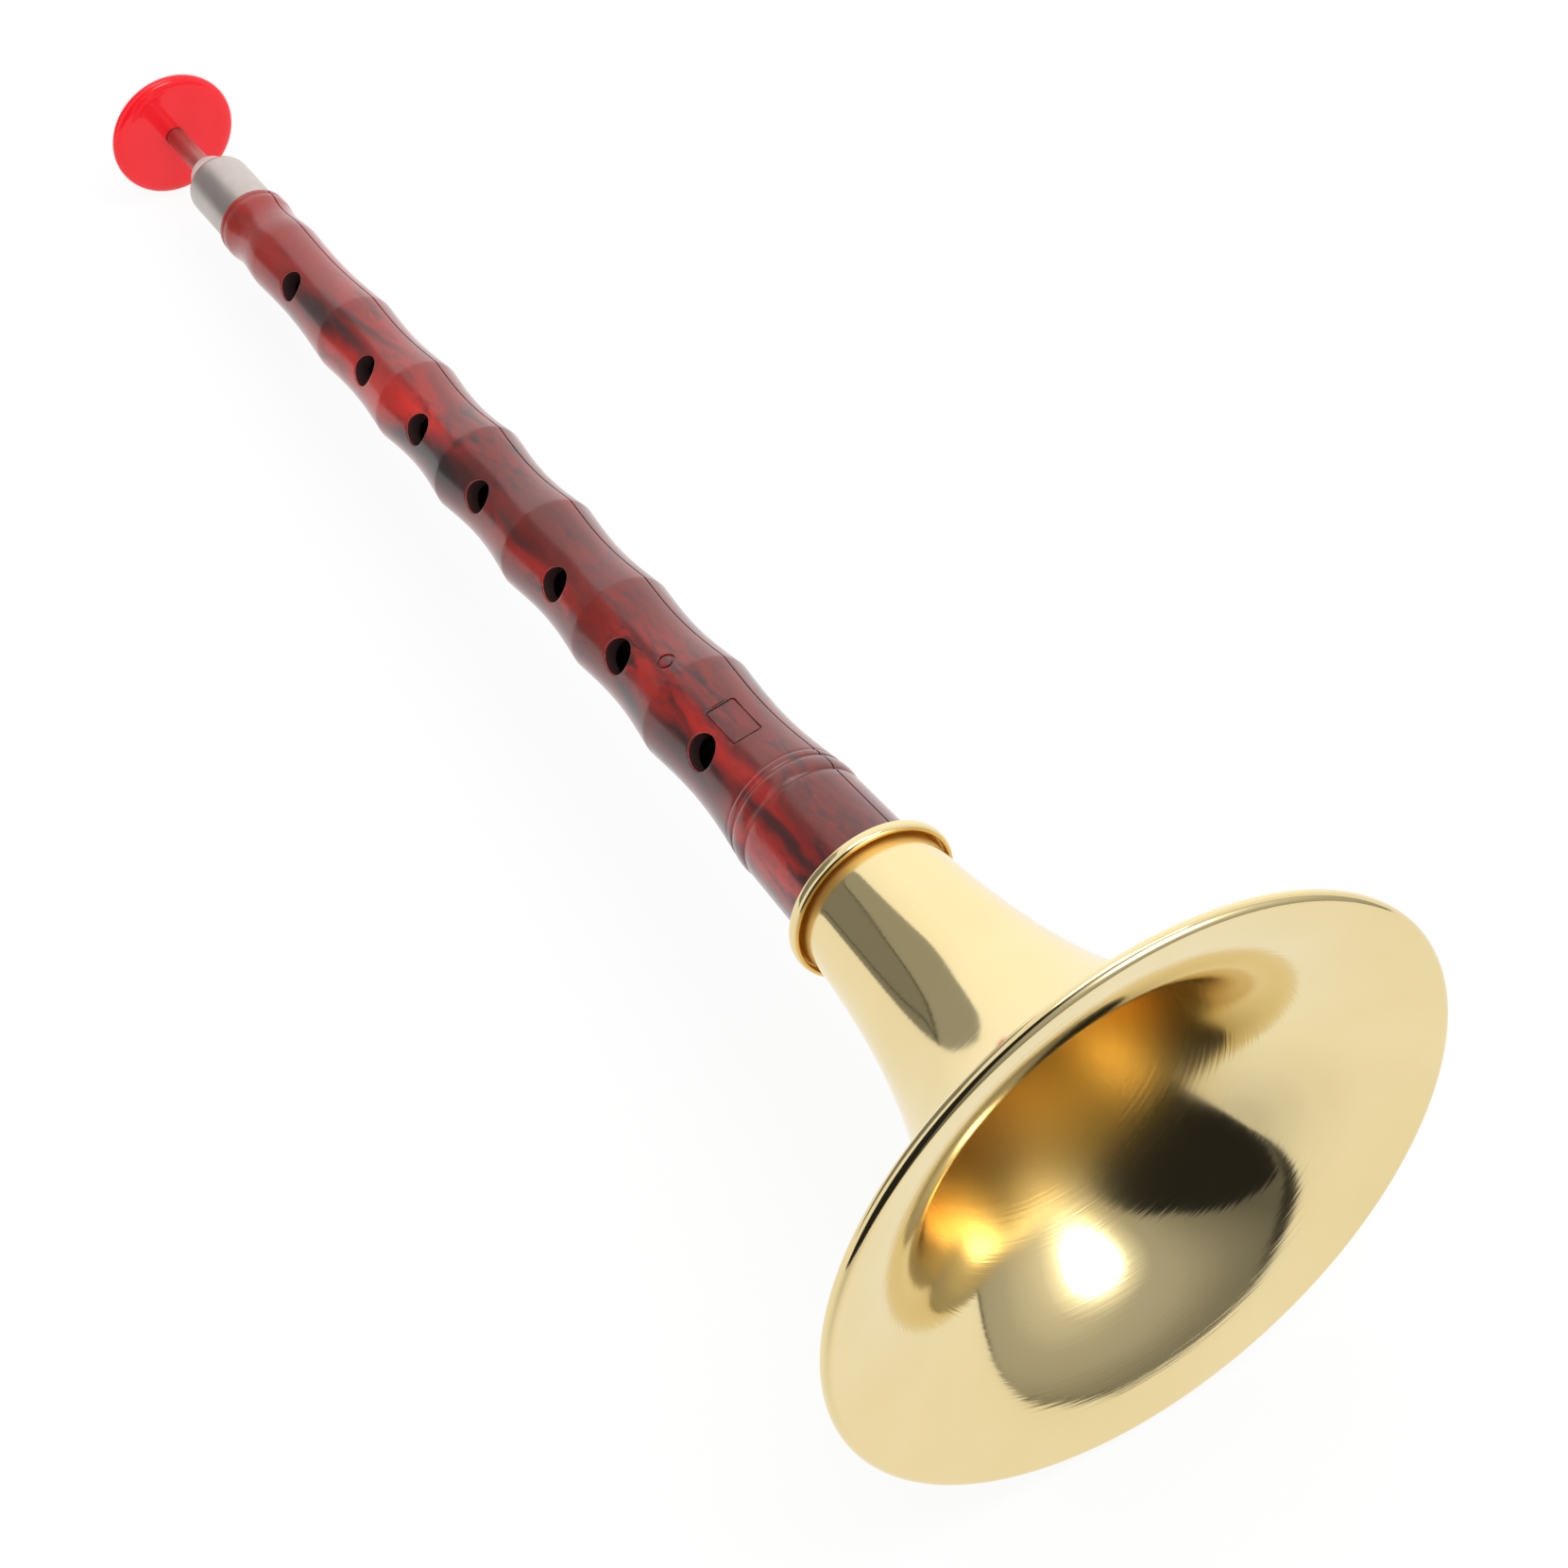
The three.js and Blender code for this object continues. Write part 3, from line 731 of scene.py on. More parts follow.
def panel_cutter():
    rings = [(share, -PANEL_FRAME, -PANEL_FIELD, "skin") for share in (0.05, 0.35, 0.65, 1)]
    rings += [(1, MARK_EDGE - PANEL_FRAME, -MARK_DEPTH, "skin"), (1, 0, -MARK_DEPTH, "skin")]
    rings += fillet_rings(MARK_EDGE)
    shape = rounded_box(PANEL_WIDTH, PANEL_LENGTH, PANEL_CORNER)
    return cutter("panel_cut", shape, PANEL_TURN, ridged_station(PANEL_PLACE_SHARE), rings)


def ring_cutter():
    half = RING_MARK_WIDTH / 2
    inner, outer = (
        [(1, side * half + out, *rest) for _, out, *rest in fillet_rings(MARK_EDGE, side)]
        for side in (-1, 1)
    )
    floor = [(1, share * half, -MARK_DEPTH, "skin") for share in (-0.8, 0, 0.8)]
    shape, place = circle(RING_MARK_RADIUS - half), ridged_station(RING_PLACE_SHARE)
    return cutter("ring_cut", shape, RING_TURN, place, inner[::-1] + floor + outer, closed=True)


def cut(mesh, tools):
    """The mesh with the tools taken out of it. The tools are deleted."""
    piece = add_object(mesh.name, mesh)
    for tool in tools:
        modifier = piece.modifiers.new(tool.name, "BOOLEAN")
        modifier.operation = "DIFFERENCE"
        modifier.solver = "EXACT"
        modifier.object = tool
    bpy.context.view_layer.update()
    evaluated = piece.evaluated_get(bpy.context.evaluated_depsgraph_get())
    result = bpy.data.meshes.new_from_object(evaluated)
    shade(result)
    for used in (piece, *tools):
        bpy.data.objects.remove(used)
    return result


def beside_hole(place, turn, holes):
    """Whether a place on the pipe is at the edge of one of the holes at a turn."""
    out = Vector((*heading(turn), 0))
    for share, width in holes:
        reach = place - Vector((0, 0, ridged_station(share)))
        if (reach - out * reach.dot(out)).length < HOLE_DIAMETER * width / 2 + HOLE_EDGE * 2:
            return True
    return False


def mark_inner(mesh, turn, holes):
    """Marks the faces of the bore and the hole walls, which get a painted shade, and of the cut
    edges of the holes, which are bright."""
    def below(place):
        return pipe_radius(max(place.z, COLLAR_TOP)) - math.hypot(place.x, place.y)

    def bright(place, _):
        return CUT_DEPTH < below(place) <= INNER_DEPTH and beside_hole(place, turn, holes)

    mark(mesh, "inner", lambda place, _: below(place) > INNER_DEPTH)
    mark(mesh, "cut_edge", bright)


def make_pipe(material):
    tools = [
        hole_cutter(f"finger_hole_{i + 1}", place, width, HOLE_TURN)
        for i, (place, width) in enumerate(FINGER_HOLE_SHARES)
    ]
    thumb_tool = hole_cutter("thumb_hole", *THUMB_HOLE_SHARES, HOLE_TURN + 180)
    front = half_pipe("pipe_front_fine", SEAM_TURN - 180)
    rear = half_pipe("pipe_rear_fine", SEAM_TURN)
    front = cut(front, [*tools, panel_cutter(), ring_cutter()])
    rear = cut(rear, [thumb_tool])
    mark_inner(front, HOLE_TURN, FINGER_HOLE_SHARES)
    mark_inner(rear, HOLE_TURN + 180, [THUMB_HOLE_SHARES])
    add_piece("pipe_front", front, "pipe", material, ["pipe_front_half"])
    add_piece("pipe_rear", rear, "pipe", material, ["pipe_rear_half"])


def make_foot_cork(material):
    inner, outer = FOOT_RADIUS - CORK_GROOVE + FIT_GAP, NECK_THROAT - FIT_GAP
    outline = [(inner, CORK_FOOT), (outer, CORK_FOOT), (outer, CORK_TOP), (inner, CORK_TOP)]
    mesh = revolve("foot_cork_fine", rounded(outline, CORK_EDGE), FITTING_SIDES)
    add_piece("cork_sleeve", mesh, "pipe", material, ["foot_cork"])


# Ferrule, staple and disc

def make_ferrule(material):
    edge = [
        (FERRULE_RADIUS - LIP_REACH * reach, FERRULE_TOP - LIP_DROP * drop)
        for reach, drop in LIP_SHARES
    ]
    outline = [
        (FERRULE_BORE, FERRULE), (FERRULE_RADIUS, FERRULE), *edge,
        (LIP_BORE, FERRULE_TOP - FERRULE_WALL), (FERRULE_BORE, FERRULE_TOP - LIP_DROP),
    ]
    mesh = revolve("ferrule_fine", rounded(outline, FERRULE_EDGE), FITTING_SIDES)
    add_piece("ferrule_sleeve", mesh, "pipe", material, ["ferrule"])


def staple_radius(station):
    share = (station - STAPLE_FOOT) / STAPLE_LENGTH
    return mix(STAPLE_FOOT_RADIUS, STAPLE_TIP_RADIUS, share)


def make_staple(material):
    outline = [
        (staple_radius(STAPLE_FOOT), STAPLE_FOOT), (staple_radius(STAPLE_TIP), STAPLE_TIP),
        (staple_radius(STAPLE_TIP) - STAPLE_WALL, STAPLE_TIP),
        (staple_radius(STAPLE_FOOT) - STAPLE_WALL, STAPLE_FOOT),
    ]
    mesh = revolve("staple_fine", rounded(outline, STAPLE_WALL / 3), FITTING_SIDES)
    add_piece("staple", mesh, "staple", material, ["staple_tube"])


def make_wrap(material):
    foot, top = (STAPLE_FOOT + share * STAPLE_LENGTH for share in WRAP_SHARES)
    outer = SOCKET_RADIUS - FIT_GAP
    outline = [
        (staple_radius(foot) + WIRE_GAP, foot), (outer, foot), (outer, top),
        (staple_radius(top) + WIRE_GAP, top),
    ]
    mesh = revolve("wrap_fine", rounded(outline, CORK_EDGE), FITTING_SIDES)
    add_piece("staple_cork", mesh, "staple", material, ["staple_wrap"])


def make_plug(material):
    foot, top = FERRULE_TOP - PLUG_STEM, FERRULE_TOP + PLUG_HEIGHT
    bore = staple_radius(foot) + WIRE_GAP
    cap = [(PLUG_RADIUS * r, mix(FERRULE_TOP, top, rise)) for r, rise in PLUG_SHARES]
    outline = [(bore, foot), (PLUG_RADIUS, foot), *cap, (bore, top)]
    mesh = revolve("plug_fine", rounded(outline, PLUG_EDGE, 6), FITTING_SIDES)
    add_piece("stopper", mesh, "staple", material, ["staple_plug"])


def make_disc(material):
    half = DISC_THICKNESS / 2
    bore = staple_radius(DISC - half) + WIRE_GAP
    edge = []
    for a in map(math.radians, sweep(-90, 90, DISC_EDGE_STEPS)):
        out = abs(math.cos(a)) ** (2 / DISC_EDGE_POWER)
        up = math.copysign(abs(math.sin(a)) ** (2 / DISC_EDGE_POWER), a)
        edge.append((DISC_RADIUS - DISC_EDGE_REACH * (1 - out), DISC + half * up))
    outline = [*edge, (bore, DISC + half), (bore, DISC - half)]
    mesh = revolve("lip_disc_fine", outline, FITTING_SIDES * 2)
    add_piece("red_disc", mesh, "disc", material, ["lip_disc"])


# Reed

def reed_ring(share, inset):
    base = REED_BASE / REED_LENGTH
    t = max(0, (share - base) / (1 - base))
    width = mix(REED_RADIUS, REED_TIP_HALF_WIDTH, t) - inset
    depth = mix(REED_RADIUS, REED_TIP_HALF_DEPTH, t * t * (3 - 2 * t)) - inset
    station = REED + share * REED_LENGTH
    return [
        (*turned(width * math.cos(a), depth * math.sin(a), REED_TURN), station)
        for a in all_round(REED_SIDES)
    ]


def make_reed(material):
    shares = sweep(0, 1, REED_STEPS)
    rings = [(t, 0) for t in shares]
    rings += [(t, mix(REED_WALL, REED_TIP_WALL, t)) for t in reversed(shares)]
    points = [p for t, inset in rings for p in reed_ring(t, inset)]
    faces = ring_faces(REED_SIDES, len(rings), closed=True)
    mesh = finished_mesh("reed_fine", points, faces)
    add_piece("reed", mesh, "reed", material, ["reed_blade"])


def make_binding(material):
    steps, half = REED_SIDES * BINDING_TURNS, BINDING_WIRE / 2
    points = []
    for step in range(steps + 1):
        turn = 2 * math.pi * BINDING_TURNS * step / steps
        rise = BINDING_WIRE + BINDING_PITCH * BINDING_TURNS * step / steps
        for a in all_round(WIRE_SIDES):
            radius = REED_RADIUS + WIRE_GAP + half + half * math.cos(a)
            lift = REED + rise + half * math.sin(a)
            points.append((radius * math.cos(turn), radius * math.sin(turn), lift))
    mesh = finished_mesh("reed_binding_fine", points, ring_faces(WIRE_SIDES, steps + 1))
    add_piece("reed_wire", mesh, "reed", material, ["reed_binding"])


# Materials

class Nodes:
    """Short calls that add nodes to a material or a world. A value is a node's output or a
    constant."""

    def __init__(self, name, kind="materials"):
        self.owner = getattr(bpy.data, kind).new(name)
        self.owner.use_nodes = True
        self.tree = self.owner.node_tree
        self.space = None

    def add(self, kind, **values):
        node = self.tree.nodes.new(kind)
        for name, value in values.items():
            if name in node.inputs:
                node.inputs[name].default_value = value
            else:
                setattr(node, name, value)
        return node

    def link(self, source, target):
        self.tree.links.new(source, target)

    def show(self, shader):
        self.link(shader, self.tree.nodes["Material Output"].inputs["Surface"])

    def fill(self, sockets, values):
        for socket, value in zip(sockets, values):
            if isinstance(value, bpy.types.NodeSocket):
                self.link(value, socket)
            else:
                socket.default_value = (*value, 1) if socket.type == "RGBA" else value

    def place(self, scale=EVEN):
        """Instrument space in millimetres, scaled by a vector."""
        if self.space is None:
            coordinates = self.add("ShaderNodeTexCoord")
            mapping = self.add(
                "ShaderNodeMapping", vector_type="TEXTURE", Location=SPACE.translation,
                Rotation=SPACE.to_euler(), Scale=(MM, MM, MM),
            )
            self.link(coordinates.outputs["Object"], mapping.inputs["Vector"])
            self.space = mapping.outputs["Vector"]
        return self.space if scale == EVEN else self.scaled(self.space, scale)

    def math(self, operation, first, second):
        node = self.add("ShaderNodeMath", operation=operation)
        self.fill(node.inputs, (first, second))
        return node.outputs[0]

    def vector(self, operation, *values):
        node = self.add("ShaderNodeVectorMath", operation=operation)
        self.fill(node.inputs, values)
        return node.outputs["Value" if operation in ("LENGTH", "DOT_PRODUCT") else "Vector"]

    def scaled(self, vector, scale):
        return self.vector("MULTIPLY", vector, scale)

    def parts(self, vector):
        node = self.add("ShaderNodeSeparateXYZ")
        self.link(vector, node.inputs[0])
        return node.outputs

    def attribute(self, name):
        return self.add("ShaderNodeAttribute", attribute_name=name).outputs["Fac"]

    def fade(self, value, reach, ends):
        """A smooth step from the first end to the second over a reach of the value."""
        node = self.add("ShaderNodeMapRange", interpolation_type="SMOOTHSTEP")
        self.fill(node.inputs, (value, *reach, *ends))
        return node.outputs["Result"]

    def stirred(self, vector, scale, stretch, reach):
        """The vector moved about by noise, by up to half the reach."""
        cloud = self.add("ShaderNodeTexNoise", Scale=scale)
        self.link(self.scaled(vector, stretch), cloud.inputs["Vector"])
        centred = self.vector("SUBTRACT", cloud.outputs["Color"], (0.5, 0.5, 0.5))
        return self.vector("MULTIPLY_ADD", centred, (reach, reach, reach), vector)

    def noise(self, vector, scale, detail=2, roughness=0.5, distortion=0):
        node = self.add(
            "ShaderNodeTexNoise", Scale=scale, Detail=detail, Roughness=roughness,
            Distortion=distortion,
        )
        self.link(vector, node.inputs["Vector"])
        return node.outputs["Fac"]

    def spun(self, lines, drift):
        """Noise in fine rings round the axis, which change slowly along each ring."""
        split = self.parts(self.place())
        radius = self.vector("LENGTH", self.place(ACROSS_AXIS))
        parts = [
            self.math("MULTIPLY", source, scale)
            for source, scale in (
                (radius, lines), (split["Z"], lines), (split["X"], drift), (split["Y"], drift),
            )
        ]
        join = self.add("ShaderNodeCombineXYZ")
        self.fill(join.inputs, parts)
        node = self.add("ShaderNodeTexNoise", noise_dimensions="4D", Scale=1, Detail=3)
        self.link(join.outputs[0], node.inputs["Vector"])
        self.link(parts[3], node.inputs["W"])
        return node.outputs["Fac"]

    def ramp(self, value, stops):
        node = self.add("ShaderNodeValToRGB")
        elements = node.color_ramp.elements
        while len(elements) < len(stops):
            elements.new(0.5)
        for element, (place, color) in zip(elements, stops):
            element.position = place
            element.color = (*color, 1) if isinstance(color, tuple) else (color, color, color, 1)
        self.link(value, node.inputs["Fac"])
        return node.outputs["Color"]

    def drift(self, noise, tones):
        """From the first tone to the second as the noise rises."""
        return self.ramp(noise, list(zip(DRIFT_ENDS, tones)))

    def clouded(self, scale, detail, tones):
        """A drift between two tones in soft clouds."""
        return self.drift(self.noise(self.place(), scale, detail), tones)

    def streaks(self, vector, squash, stops, **noise):
        """A ramp over noise that is drawn out along the axis."""
        return self.ramp(self.noise(self.scaled(vector, (1, 1, squash)), **noise), stops)

    def blend(self, share, first, second, mode="MIX"):
        node = self.add("ShaderNodeMix", data_type="RGBA", blend_type=mode)
        self.fill((node.inputs[0], node.inputs[6], node.inputs[7]), (share, first, second))
        return node.outputs[2]

    def bump(self, height, strength, distance, over=None):
        node = self.add("ShaderNodeBump", Strength=strength, Distance=distance * MM)
        self.link(height, node.inputs["Height"])
        if over is not None:
            self.link(over, node.inputs["Normal"])
        return node.outputs["Normal"]

    def set(self, **values):
        names = {
            "color": "Base Color", "roughness": "Roughness", "metallic": "Metallic",
            "normal": "Normal", "coat": "Coat Weight", "coat_roughness": "Coat Roughness",
            "ior": "IOR", "specular": "Specular IOR Level",
        }
        shader = self.tree.nodes["Principled BSDF"]
        self.fill([shader.inputs[names[name]] for name in values], values.values())
        return self.owner


def patch_strength(n, place, patch):
    """How strong one patch of smoke or of bright red is, down to 0 at its edge."""
    share, turn, length, width, slant, strength = patch
    station = ridged_station(share)
    radius = pipe_radius(station)
    out, along = Vector((*heading(turn), 0)), Vector((0, 0, 1))
    across = along.cross(out)
    cos, sin = heading(slant)
    across, along = across * cos - along * sin, along * cos + across * sin
    mapping = n.add(
        "ShaderNodeMapping", vector_type="TEXTURE",
        Location=out * radius + Vector((0, 0, station)),
        Rotation=Matrix((out, across, along)).transposed().to_euler(),
        Scale=(radius, width / 2, length / 2),
    )
    n.link(place, mapping.inputs["Vector"])
    reach = n.vector("LENGTH", mapping.outputs["Vector"])
    return n.fade(reach, PATCH_FADE, (strength, 0))


def strongest(n, place, patches, least):
    for patch in patches:
        least = n.math("MAXIMUM", least, patch_strength(n, place, patch))
    return least


def rear_smoke(n, place):
    """Smoke on the side that the photograph doesn't show."""
    side = n.vector("DOT_PRODUCT", place, (*heading(HOLE_TURN + 180), 0))
    mask = n.fade(side, (-1, 4), (0, 1))
    stops = [(0.5, 0), (0.62, 1)]
    streaks = n.streaks(place, 0.25, stops, scale=0.13, detail=3, roughness=0.55)
    return n.math("MULTIPLY", mask, streaks)


def fine_smoke(n, place):
    """Thin wisps of smoke that come and go over the whole pipe."""
    wisps = n.streaks(
        place, 0.28, [(0.44, 0), (0.65, 0.85)], scale=0.5, detail=5, roughness=0.62,
        distortion=0.6,
    )
    spread_out = n.streaks(place, 0.4, [(0.4, 0.25), (0.6, 1)], scale=0.1)
    clean_head = n.fade(n.parts(place)["Z"], CLEAN_STATIONS, (1, 0.25))
    return n.math("MULTIPLY", n.math("MULTIPLY", wisps, spread_out), clean_head)


def marbled_plastic():
    n = Nodes("marbled_plastic")
    still = n.place()
    place = n.stirred(still, scale=0.1, stretch=(1, 1, 0.5), reach=5)
    place = n.stirred(place, scale=0.4, stretch=(1, 1, 0.4), reach=1.6)
    smoke = strongest(n, place, SMOKE, rear_smoke(n, place))
    stops = [(0.3, 0.82), (0.6, 1)]
    thin = n.streaks(place, 0.2, stops, scale=0.3, detail=3, roughness=0.55)
    smoke = n.math("MAXIMUM", n.math("MULTIPLY", smoke, thin), fine_smoke(n, place))
    clouds = n.streaks(place, 0.3, [(0.36, 0), (0.66, 0.6)], scale=0.13, detail=3)
    glow = n.math("ADD", clouds, n.fade(n.parts(still)["Z"], BRIGHT_STATIONS, (0, 0.5)))
    color = n.blend(glow, *PLASTIC_RED)
    # The bore and the hole walls get a dark painted shade over the red plastic.
    for share, tone in (
        (strongest(n, place, BRIGHT_RED, 0), VIVID_RED), (smoke, SMOKE_BLACK),
        (n.attribute("cut_edge"), CUT_RED), (n.attribute("inner"), HOLE_WALL_PAINTED_SHADE),
    ):
        color = n.blend(share, color, tone)
    rough = n.drift(n.noise(still, scale=0.35, detail=4, roughness=0.6), (0.21, 0.29))
    normal = n.bump(n.noise(still, scale=0.9), strength=0.06, distance=0.05)
    return n.set(
        color=color, roughness=rough, normal=normal, ior=1.5, coat=0.45, coat_roughness=0.16,
    )


def collar_groove(n, station):
    """1 in the groove between the neck and its rolled collar, where an orange reflection is
    painted.
    """
    radius = n.vector("LENGTH", n.place(ACROSS_AXIS))
    above, below = n.fade(station, GROOVE_START, (0, 1)), n.fade(station, GROOVE_END, (1, 0))
    within = n.fade(radius, GROOVE_RADII, (1, 0))
    return n.math("MULTIPLY", within, n.math("MULTIPLY", above, below))


def polished_brass():
    n = Nodes("polished_brass")
    inside, station = n.attribute("inside"), n.parts(n.place())["Z"]
    # The throat gets painted shade: a deeper orange brass that stands for light bounced about in
    # it, and a rougher finish.
    throat = n.math("MULTIPLY", inside, n.fade(station, THROAT_STATIONS, (0, 1)))
    # The collar's groove gets a painted reflection: orange brass that stands for brass reflecting
    # brass, and a rougher finish.
    groove = collar_groove(n, station)
    lines = n.spun(lines=5, drift=0.04)
    waves = n.spun(lines=1.7, drift=0.05)
    ripples = n.math("MULTIPLY", waves, n.fade(inside, (0, 1), (0.6, 1.5)))
    tint, rough = n.clouded(0.03, 3, BRASS), n.drift(lines, (0.06, 0.12))
    for share, tone, level in (
        (throat, THROAT_PAINTED_SHADE, THROAT_ROUGHNESS), (groove, GROOVE_PAINTED_REFLECTION, GROOVE_ROUGHNESS),
    ):
        tint = n.blend(share, tint, tone)
        rough = n.blend(share, rough, (level, level, level))
    rippled = n.bump(ripples, strength=1, distance=0.013)
    normal = n.bump(lines, strength=0.12, distance=0.02, over=rippled)
    return n.set(color=tint, metallic=1, roughness=rough, normal=normal)


def satin_nickel():
    n = Nodes("satin_nickel")
    brushed = n.spun(lines=6, drift=0.2)
    tint, rough = n.clouded(0.2, 3, NICKEL), n.drift(brushed, (0.32, 0.44))
    normal = n.bump(brushed, strength=0.15, distance=0.02)
    return n.set(color=tint, metallic=1, roughness=rough, normal=normal)


def copper():
    n = Nodes("copper")
    drawn = n.noise(n.place((6, 6, 0.2)), scale=1, detail=3, roughness=0.6)
    tint, rough = n.clouded(0.3, 3, COPPER), n.drift(drawn, (0.38, 0.48))
    normal = n.bump(drawn, strength=0.1, distance=0.02)
    return n.set(color=tint, metallic=1, roughness=rough, normal=normal)


def white_plastic():
    n = Nodes("white_plastic")
    normal = n.bump(n.noise(n.place(), scale=4), strength=0.08, distance=0.05)
    return n.set(color=n.clouded(0.4, 4, STOPPER_WHITE), roughness=0.38, normal=normal)


def red_plastic():
    n = Nodes("red_plastic")
    tint, rough = n.clouded(0.1, 2, DISC_RED), n.clouded(0.5, 4, (0.06, 0.1))
    return n.set(color=tint, roughness=rough, ior=1.46)


def cork():
    n = Nodes("cork")
    grains = n.add("ShaderNodeTexVoronoi", Scale=1.2)
    n.link(n.place(), grains.inputs["Vector"])
    grain = grains.outputs["Distance"]
    tint = n.ramp(grain, list(zip((0.1, 0.6), CORK)))
    normal = n.bump(grain, strength=0.4, distance=0.1)
    return n.set(color=tint, roughness=0.85, normal=normal)


def cane():
    n = Nodes("cane")
    fibres = n.noise(n.place((4, 4, 0.25)), scale=1, detail=4, roughness=0.6)
    normal = n.bump(fibres, strength=0.3, distance=0.05)
    return n.set(color=n.drift(fibres, CANE), roughness=0.6, normal=normal)


# Studio

def plain_emission(name, strength):
    n = Nodes(name)
    emission = n.add("ShaderNodeEmission", Strength=strength)
    n.show(emission.outputs[0])
    return n, emission.inputs["Color"]


def seen_directly(n):
    """1 for what the camera sees or a mirror shows, 0 for the light that falls on the object."""
    path = n.add("ShaderNodeLightPath")
    return n.math("MAXIMUM", path.outputs["Is Camera Ray"], path.outputs["Is Glossy Ray"])


def make_floor():
    mesh = bpy.data.meshes.new("floor")
    sides = ((-1, -1), (1, -1), (1, 1), (-1, 1))
    corners = [(x * FLOOR_REACH, y * FLOOR_REACH, 0) for x, y in sides]
    mesh.from_pydata(corners, [], [(0, 1, 2, 3)])
    floor = add_object("floor", mesh)
    n = Nodes("floor_white")
    mesh.materials.append(n.set(color=FLOOR_WHITE, roughness=1, specular=0))
    matte = n.tree.nodes["Principled BSDF"].outputs[0]
    white = n.add("ShaderNodeEmission", Strength=WHITE).outputs[0]
    share = n.math("MULTIPLY", seen_directly(n), FLOOR_GLOW_SHARE)
    both = n.add("ShaderNodeMixShader")
    n.fill(both.inputs, (share, matte, white))
    n.show(both.outputs[0])
    floor.visible_glossy = False


def direction(azimuth, elevation):
    a, e = math.radians(azimuth), math.radians(elevation)
    return Vector((math.cos(a) * math.cos(e), math.sin(a) * math.cos(e), math.sin(e)))


def sky_card(name, centre, radius, rungs, material, steps=RUNG_STEPS):
    """A card bent round a point, seen only in reflections. It is a ladder: each rung goes from
    one (azimuth, elevation) to another."""
    count = (len(rungs) - 1) * steps + 1
    points, faces = [], []
    for i in range(count):
        k = min(i // steps, len(rungs) - 2)
        along = i / steps - k
        start, end = (
            [mix(a, b, along) for a, b in zip(rungs[k][side], rungs[k + 1][side])]
            for side in (0, 1)
        )
        for share in sweep(0, 1, CARD_STEPS):
            angles = [mix(a, b, share) for a, b in zip(start, end)]
            points.append(Vector(centre) + radius * direction(*angles))
    for i in range(count - 1):
        for step in range(CARD_STEPS):
            a = i * (CARD_STEPS + 1) + step
            faces.append((a, a + 1, a + CARD_STEPS + 2, a + CARD_STEPS + 1))
    mesh = bpy.data.meshes.new(name)
    mesh.from_pydata(points, [], faces)
    mesh.materials.append(material)
    card = add_object(name, mesh)
    for ray in ("camera", "diffuse", "shadow", "transmission", "volume_scatter"):
        setattr(card, f"visible_{ray}", False)


def lit_toward(n, centre, aim, stops):
    """A ramp over the cosine between the ways from a centre to the card and to a lamp."""
    position = n.add("ShaderNodeNewGeometry").outputs["Position"]
    way = n.vector("NORMALIZE", n.vector("SUBTRACT", position, centre))
    return n.ramp(n.vector("DOT_PRODUCT", way, direction(*aim)), stops)


def make_studio_cards():
    """What the bell shows of the studio: a grey room beyond the white table with a soft lamp
    in it, a dark panel, and the room behind the pipe in the neck."""
    room, room_color = plain_emission("card_grey", LAMP_LEVEL)
    glows = []
    for aim, levels in ((ROOM_AIM, ROOM_LEVELS), (LAMP_AIM, LAMP_GLOW)):
        stops = [(place, level / LAMP_LEVEL) for place, level in levels]
        glows.append(lit_toward(room, BELL_CENTRE, aim, stops))
    room.link(room.blend(1, *glows, mode="ADD"), room_color)
    table, table_color = plain_emission("card_table", WHITE)
    table.link(lit_toward(table, BELL_CENTRE, NEAR_AIM, NEAR_GLOW), table_color)
    dark, _ = plain_emission("card_dark", DARK_LEVEL)
    left, _ = plain_emission("card_left", LEFT_LEVEL)
    right, _ = plain_emission("card_right", RIGHT_LEVEL)
    walls = [((azimuth, low), (azimuth, ROOM_TOP)) for azimuth, low in TABLE_EDGE]
    near = [((azimuth, NEAR_LOW), (azimuth, top)) for azimuth, top in NEAR_RUNGS]
    edge = [
        ((azimuth, low), (azimuth, low + width))
        for (azimuth, low), width in zip(TABLE_EDGE, EDGE_WIDTHS)
    ]
    panel = [((DARK_START, level), (end, level)) for level, end in DARK_ENDS]
    far_left = [((NECK_START, level), (middle, level)) for level, middle, _ in NECK_ROOM]
    far_right = [((middle, level), (end, level)) for level, middle, end in NECK_ROOM]
    line = [[(middle + side, level) for side in NECK_LINE] for level, middle, _ in NECK_ROOM]
    foot = [
        ((azimuth, low), (azimuth, low + NECK_EDGE_WIDTH)) for azimuth, low in NECK_TABLE_EDGE
    ]
    for name, centre, reach, rungs, card in (
        ("card_room", BELL_CENTRE, "room", walls, room),
        ("card_table", BELL_CENTRE, "table", near, table),
        ("card_edge", BELL_CENTRE, "edge", edge, dark),
        ("card_dark_panel", BELL_CENTRE, "panel", panel, dark),
        ("card_far_left", NECK_CENTRE, "far", far_left, left),
        ("card_far_right", NECK_CENTRE, "far", far_right, right),
        ("card_far_line", NECK_CENTRE, "line", line, dark),
        ("card_far_edge", NECK_CENTRE, "line", foot, dark),
    ):
        sky_card(name, centre, CARD_REACHES[reach], rungs, card.owner)


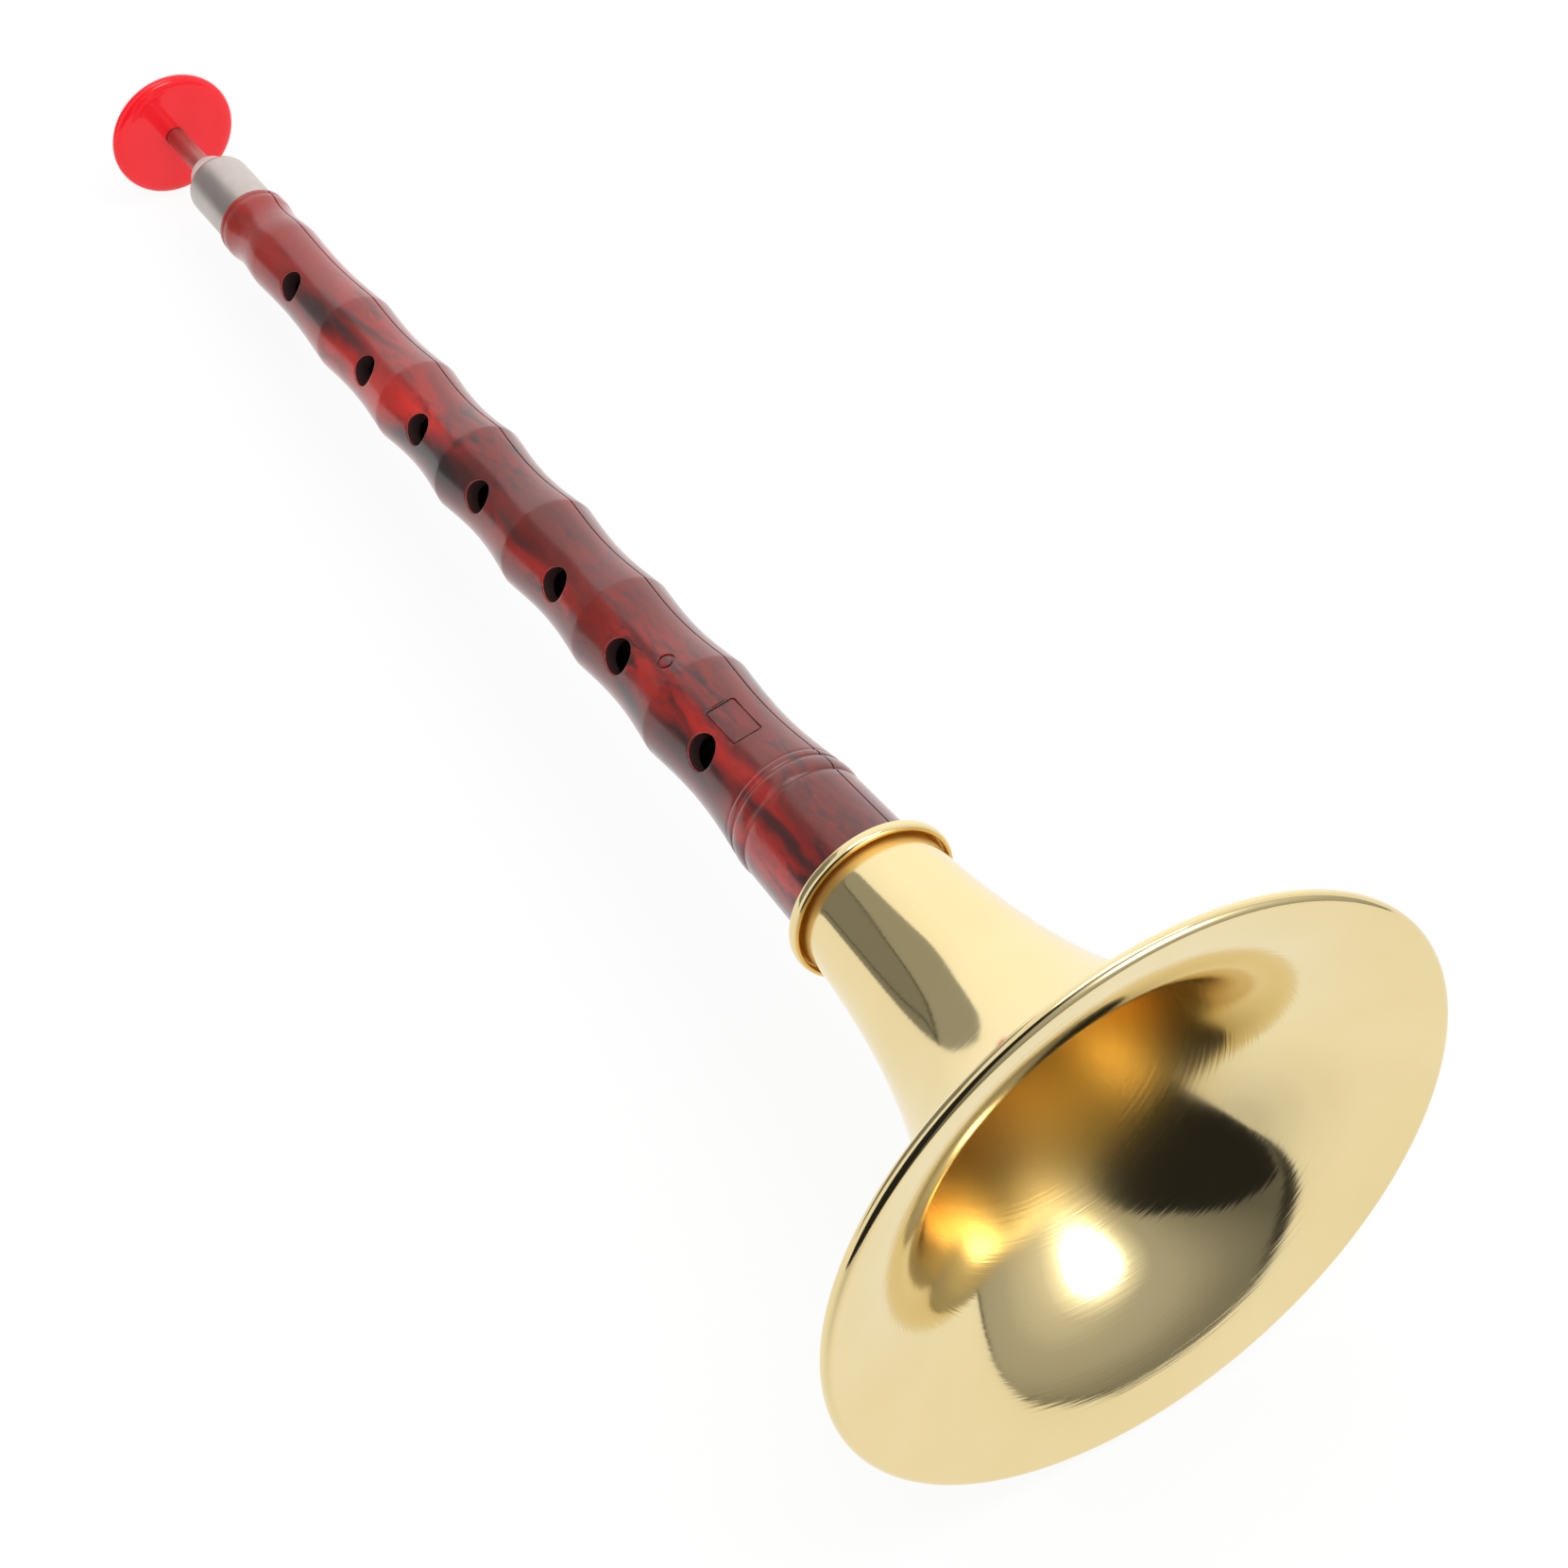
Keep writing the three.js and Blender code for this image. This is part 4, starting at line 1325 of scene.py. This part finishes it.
def make_world():
    n = Nodes("white_room", "worlds")
    bpy.context.scene.world = n.owner
    background = n.tree.nodes["Background"]
    background.inputs["Color"].default_value = (1, 1, 1, 1)
    strength = n.add("ShaderNodeMapRange")
    n.fill(strength.inputs, (seen_directly(n), 0, 1, ROOM_LIGHT, WHITE))
    n.link(strength.outputs["Result"], background.inputs["Strength"])


def make_window():
    """A pale glow behind the neck's right side, brighter than white."""
    glow, color = plain_emission("card_window", WINDOW_LEVEL)
    stops = list(zip(WINDOW_FADE, (WHITE / WINDOW_LEVEL, 1)))
    glow.link(lit_toward(glow, NECK_CENTRE, WINDOW_AIM, stops), color)
    azimuth, elevation = WINDOW_AIM
    ends = (-WINDOW_REACH, WINDOW_REACH)
    rungs = [[(azimuth + side, elevation + rise) for rise in ends] for side in ends]
    sky_card("card_window", NECK_CENTRE, CARD_REACHES["window"], rungs, glow.owner, CARD_STEPS)


def make_lamp():
    """A wide lamp overhead that faces the middle of the floor."""
    data = bpy.data.lights.new("overhead", "AREA")
    data.shape = "DISK"
    data.size = OVERHEAD_SIZE
    data.energy = OVERHEAD_POWER
    lamp = add_object("overhead", data)
    lamp.location = OVERHEAD_PLACE
    lamp.rotation_euler = Vector(OVERHEAD_PLACE).to_track_quat("Z", "Y").to_euler()


def make_camera():
    right, back = Vector(CAMERA_RIGHT).normalized(), Vector(CAMERA_BACK).normalized()
    data = bpy.data.cameras.new("camera")
    data.sensor_width = CAMERA_SENSOR
    data.lens = CAMERA_LENS
    data.clip_start = CAMERA_CLIP
    camera = add_object("camera", data)
    turn = Matrix((right, back.cross(right), back)).transposed().to_4x4()
    camera.matrix_world = Matrix.Translation(CAMERA_PLACE) @ turn
    bpy.context.scene.camera = camera


def main():
    plastic, brass, nickel = marbled_plastic(), polished_brass(), satin_nickel()
    red_copper, cork_bark = copper(), cork()
    make_bell(brass)
    make_rim_wire(brass)
    make_pipe(plastic)
    make_foot_cork(cork_bark)
    make_ferrule(nickel)
    make_staple(red_copper)
    make_wrap(cork_bark)
    make_plug(white_plastic())
    make_disc(red_plastic())
    make_reed(cane())
    make_binding(red_copper)
    make_floor()
    make_studio_cards()
    make_window()
    make_world()
    make_lamp()
    make_camera()
    bpy.context.scene.view_settings.view_transform = "Standard"


main()
